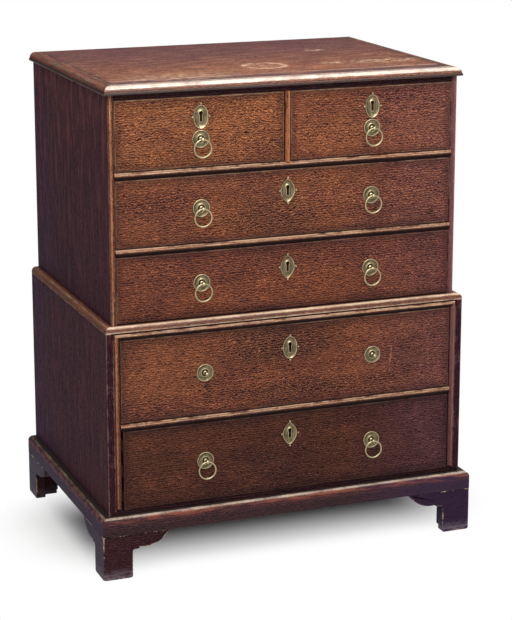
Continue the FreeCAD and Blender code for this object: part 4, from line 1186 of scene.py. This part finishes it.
def build_case():
    """The case: boards, mouldings, beads and feet."""
    side = oak("oak_of_the_sides", SIDE_TONES, stretch=0.45, hue=0.6, rub=0.0024, reach=0.26,
               roughness=0.6, shine=0.03, ground=side_tones, extra=side_marks)
    top = oak("oak_of_the_top", TOP_TONES, stretch=0.5, hue=0.55, bands=0.4, reach=0.1,
              roughness=0.55, shine=0.03, ground=top_tones, extra=top_marks)
    # The pale worn tones on the crowns of the top, waist and base mouldings and of the beads are partly wear
    # and partly painted highlights, and their darkening away from the crowns is dirt and painted shade.
    top_edge = (
        oak("oak_of_the_top_edge", BEAD_TONES._replace(worn=rgb(214, 201, 186)), rub=0.003, reach=0.85,
            hollow_dirt_and_shade=(0.004, 0.01), dirt=0.8, roughness=0.28, shine=0.3, coat=0.3),
        oak("oak_of_the_top_ends", darker(BEAD_TONES, 0.42), rub=0.0012, reach=0.3,
            hollow_dirt_and_shade=(0.006, 0.013), dirt=0.3, extra=top_end_marks, **DULL))
    waist = (
        oak("oak_of_the_waist", BEAD_TONES, rub=0.003, reach=0.72, hollow_dirt_and_shade=(0.003, 0.007), dirt=0.85,
            roughness=0.3, shine=0.25),
        oak("oak_of_the_waist_ends", BEAD_TONES, rub=0.0014, reach=0.15, hollow_dirt_and_shade=(0.003, 0.01), **DULL))
    base = (
        oak("oak_of_the_base", BASE_TONES._replace(worn=rgb(214, 192, 174)), rub=0.0032, reach=0.55,
            roughness=0.34, shine=0.14, **BASE_SHADE_AND_DIRT),
        oak("oak_of_the_base_ends", BASE_TONES, rub=0.0016, **BASE_SHADE_AND_DIRT, **DULL))
    upright = oak("oak_of_the_upright_beads", STILE_TONES, rub=0.0016, reach=0.3, hollow_dirt_and_shade=(0.002, 0.0045),
                  roughness=0.4, shine=0.08, extra=upright_marks)
    bead = oak("oak_of_the_beads", BEAD_TONES, rub=0.0014, reach=0.4, hollow_dirt_and_shade=(0.0025, 0.0055), dirt=0.7,
               roughness=0.4, shine=0.08, extra=rail_highlight_and_shade)
    feet = oak("oak_of_the_feet", BASE_TONES, rub=0.0024, reach=-0.02, chipped=5.0, spread=0.012,
               roughness=0.45, shine=0.05, extra=foot_marks)
    settle(worn_boards("top_board", "top_board_worn", X, TOP, top, TOP_SEED), "case", "oak_top", "top_board")
    for stage in ("upper", "lower"):
        boards = worn_boards(f"{stage}_sides", f"{stage}_sides_worn", Z, None, side, SIDE_SEED)
        settle(boards, "case", "oak_side", f"{stage}_sides")
    waist_section = rounded_section("waist_moulding", UPPER_HALF, WAIST_RADIUS)
    base_section = rounded_section("base_moulding", LOWER_HALF, BASE_RADIUS, False)
    # Each moulding's _rubbed run carries wear and a painted highlight on its crown.
    for node, slot, *form in (
            ("top_moulding", "oak_moulding", top_section(), TOP_HALF, TOP_FRONT, top_edge, TOP_RUN_SEED),
            ("waist_moulding", "oak_moulding", waist_section, UPPER_HALF, UPPER_FRONT, waist, WAIST_SEED),
            ("base_moulding", "oak_base", base_section, LOWER_HALF, LOWER_FRONT, base, BASE_SEED)):
        settle(three_runs(node, f"{node}_rubbed", *form), "case", slot, node)
    settle(front_beads(upright, bead), "case", "oak_bead", "front_beads")
    settle(bracket_feet(feet), "case", "oak_base", "bracket_feet")


def build_drawers():
    """The drawer fronts and their brasses."""
    metal = brass("old_brass", (176, 160, 128))
    ring_metal = brass("old_brass_of_the_rings", (176, 162, 128))
    for count, drawer in enumerate(DRAWERS):
        body = f"drawer_{drawer}"
        node, brasses = f"{body}_front", f"{body}_brasses"
        finish = oak(f"oak_of_the_{drawer}_front", darker(FRONT_TONES, *FRONT_TONE_AND_SHADE[drawer]), rub=0.0024,
                     reach=0.32, rub_above=highest(node).z, spread=0.045, dirt=0.75, shine=0.1,
                     ground=lambda place: front_tones(place, drawer),
                     extra=lambda place: front_marks(place, drawer))
        front = worn_boards(node, f"{node}_worn", X, FRONT, finish, DRAWER_SEED + count)
        settle(front, body, "oak_front", node)
        plain = smooth_copy(brasses, f"{brasses}_aged", lowest(node).y, metal, drawer in POINTED_PLATES)
        settle(plain, body, "brass", brasses)
    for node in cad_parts:
        if node.startswith("ring_"):
            settle(smooth_copy(node, f"{node}_aged", 0.0, ring_metal), node, "brass", node)


def finish_solids(metal):
    """Finishes for the solids that show as they are, by how their names begin and end."""
    frame_oak = oak("oak_of_the_frames", darker(BASE_TONES, 0.6), turn=ALONG_X, shine=0.05)
    lining = oak("oak_of_the_linings", LINING_TONES, turn=ALONG_Y, stretch=0.4, fleck=0.45, roughness=0.7,
                 shine=0.1)
    pine = oak("pine_of_the_drawer_bottoms", PINE_TONES, turn=ALONG_Y, stretch=0.2, fleck=0.3,
               roughness=0.75, shine=0.1)
    carcass = oak("pine_of_the_carcass", darker(PINE_TONES, 0.5), turn=ALONG_Y, stretch=0.2, fleck=0.3,
                  roughness=0.8, shine=0.05)
    rows = (("bolt_", "", metal), ("", "_lock", metal), ("", "_box", lining), ("drawer_", "_bottom", pine),
            ("", "_frame", frame_oak), ("", "_bottom", frame_oak), ("", "_runners", carcass))
    for node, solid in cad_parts.items():
        for start, end, finish in rows:
            if node.startswith(start) and node.endswith(end):
                solid.data.materials.clear()
                solid.data.materials.append(finish)
                break


def build_backs(metal):
    """The upright boards of the two backs, dry and dark, and the nails that hold them."""
    dry = oak("pine_of_the_backs", darker(PINE_TONES, 0.85, 0.88, 1.05), stretch=0.15, fleck=0.35, reach=0.15,
              spread=0.06, roughness=0.8, shine=0.05)
    places = []
    for count, stage in enumerate(("upper", "lower")):
        node = f"{stage}_back"
        boards = worn_boards(node, f"{node}_dry", Z, REAR, dry, BACK_SEED + 10 * count, NAIL_RISE)
        settle(boards, "case", "pine", node)
        for board in boards_of(fresh_copy(node)):
            low, high = box_of(board)
            board.free()
            for x in (low.x + (high.x - low.x) * share for share in NAIL_SHARES):
                for z in (low.z + NAIL_EDGE, (low.z + high.z) / 2, high.z - NAIL_EDGE):
                    places.append((x, high.y - NAIL_RISE - NAIL_SUNK, z))
    points = bpy.data.meshes.new("nail_places")
    points.from_pydata(places, [], [])
    nails = grown(points, NAIL_TREE,
                  {"Head": NAIL_HEAD, "Rise": NAIL_RISE, "Seed": NAIL_SEED, "Finish": metal})
    settle(join("back_nails", [nails], metal), "case", "iron")


# The studio

EYE = Vector((-1.4524, -3.8243, 1.5208))
YAW = math.radians(21.29)
PITCH = math.radians(13.0)
FOCUS_PIXELS = 2010.1
IMAGE_WIDTH, IMAGE_HEIGHT = 512, 620
CENTRE_PIXELS = (259.4, 248.0)
SENSOR = 36.0
WHITE = (1, 1, 1, 1)
SKY = (0.93, 0.94, 1.0, 1)
SKY_STRENGTH = 0.14
FLOOR_GREY = (0.93, 0.93, 0.93, 1)
FLOOR_SIZE = 30

# The floor shows its shading within this far of the middle, and fades to white over this way beyond.
SHADE_HALF = (0.3, 0.04, 0)
SHADE_FADE = 0.26

# Soft lamps: where, aimed at what, how wide and high, how many watts, and what colour.
LAMPS = {
    "overhead_front": ((-0.4, -1.4, 2.6), (0, -0.1, 0.6), (2.2, 1.7), 84, (1.0, 0.985, 0.96)),
    "overhead_strip": ((0.55, -0.5, 2.3), (0.05, -0.26, 0.97), (1.5, 0.3), 14, (1.0, 0.99, 0.97)),
    "front_fill": ((-0.4, -3.2, 0.9), (0, 0, 0.5), (2.4, 1.4), 12, (0.97, 0.98, 1.0)),
}


def place_camera():
    """A camera at the photograph's place."""
    data = bpy.data.cameras.new("camera")
    data.sensor_width = SENSOR
    data.lens = FOCUS_PIXELS * SENSOR / IMAGE_HEIGHT
    data.shift_x = (IMAGE_WIDTH / 2 - CENTRE_PIXELS[0]) / IMAGE_HEIGHT
    data.shift_y = (CENTRE_PIXELS[1] - IMAGE_HEIGHT / 2) / IMAGE_HEIGHT
    camera = put("camera", data)
    camera.location = EYE
    camera.rotation_euler = (math.pi / 2 - PITCH, 0, -YAW)
    bpy.context.scene.camera = camera


def place_lamps():
    """The soft lamps, each turned towards its aim."""
    for name, (place, aim, size, watts, colour) in LAMPS.items():
        data = bpy.data.lights.new(name, "AREA")
        data.shape = "RECTANGLE"
        data.size, data.size_y = size
        data.energy = watts
        data.color = colour
        lamp = put(name, data)
        lamp.location = place
        lamp.rotation_euler = (Vector(place) - Vector(aim)).to_track_quat("Z", "Y").to_euler()


def seen_share(tree):
    """One for rays that show the background: straight from the camera, or by way of gloss or glass."""
    path = add(tree, "ShaderNodeLightPath")
    shown = maths("MAXIMUM", path["Is Camera Ray"], path["Is Glossy Ray"])
    return maths("MAXIMUM", shown, path["Is Transmission Ray"])


def make_surround():
    """A white surround, and a pale floor that fades into it."""
    world = bpy.data.worlds.new("studio")
    bpy.context.scene.world = world
    world.use_nodes = True
    tree = world.node_tree
    tree.nodes.clear()
    light = add(tree, "ShaderNodeBackground", {"Color": SKY, "Strength": SKY_STRENGTH})[0]
    white = add(tree, "ShaderNodeBackground", {"Color": WHITE, "Strength": 1.0})[0]
    mixed = add(tree, "ShaderNodeMixShader", {0: seen_share(tree), 1: light, 2: white})[0]
    add(tree, "ShaderNodeOutputWorld", {"Surface": mixed})

    shape = bmesh.new()
    bmesh.ops.create_grid(shape, x_segments=8, y_segments=8, size=FLOOR_SIZE)
    floor = put("floor", poured(shape, "floor"))
    material, shader, place = start_material("pale_floor")
    fill(shader, {"Base Color": FLOOR_GREY, "Roughness": 0.9, "Specular IOR Level": 0.0})
    tree = material.node_tree
    aside = vectors("SUBTRACT", vectors("ABSOLUTE", place), SHADE_HALF)
    far = vectors("LENGTH", vectors("MAXIMUM", aside, (0, 0, 0)))
    glow = add(tree, "ShaderNodeEmission", {"Color": WHITE, "Strength": 1.0})[0]
    share = seen_share(tree) * fade(far, 0.0, SHADE_FADE)
    mixed = add(tree, "ShaderNodeMixShader", {0: share, 1: Value(shader.outputs[0]), 2: glow})[0]
    fill(tree.nodes["Material Output"], {"Surface": mixed})
    floor.data.materials.append(material)


old_iron = iron("old_iron")
build_case()
build_drawers()
finish_solids(old_iron)
build_backs(old_iron)
make_surround()
place_lamps()
place_camera()
bpy.context.scene.view_settings.view_transform = "Standard"
bpy.context.view_layer.update()
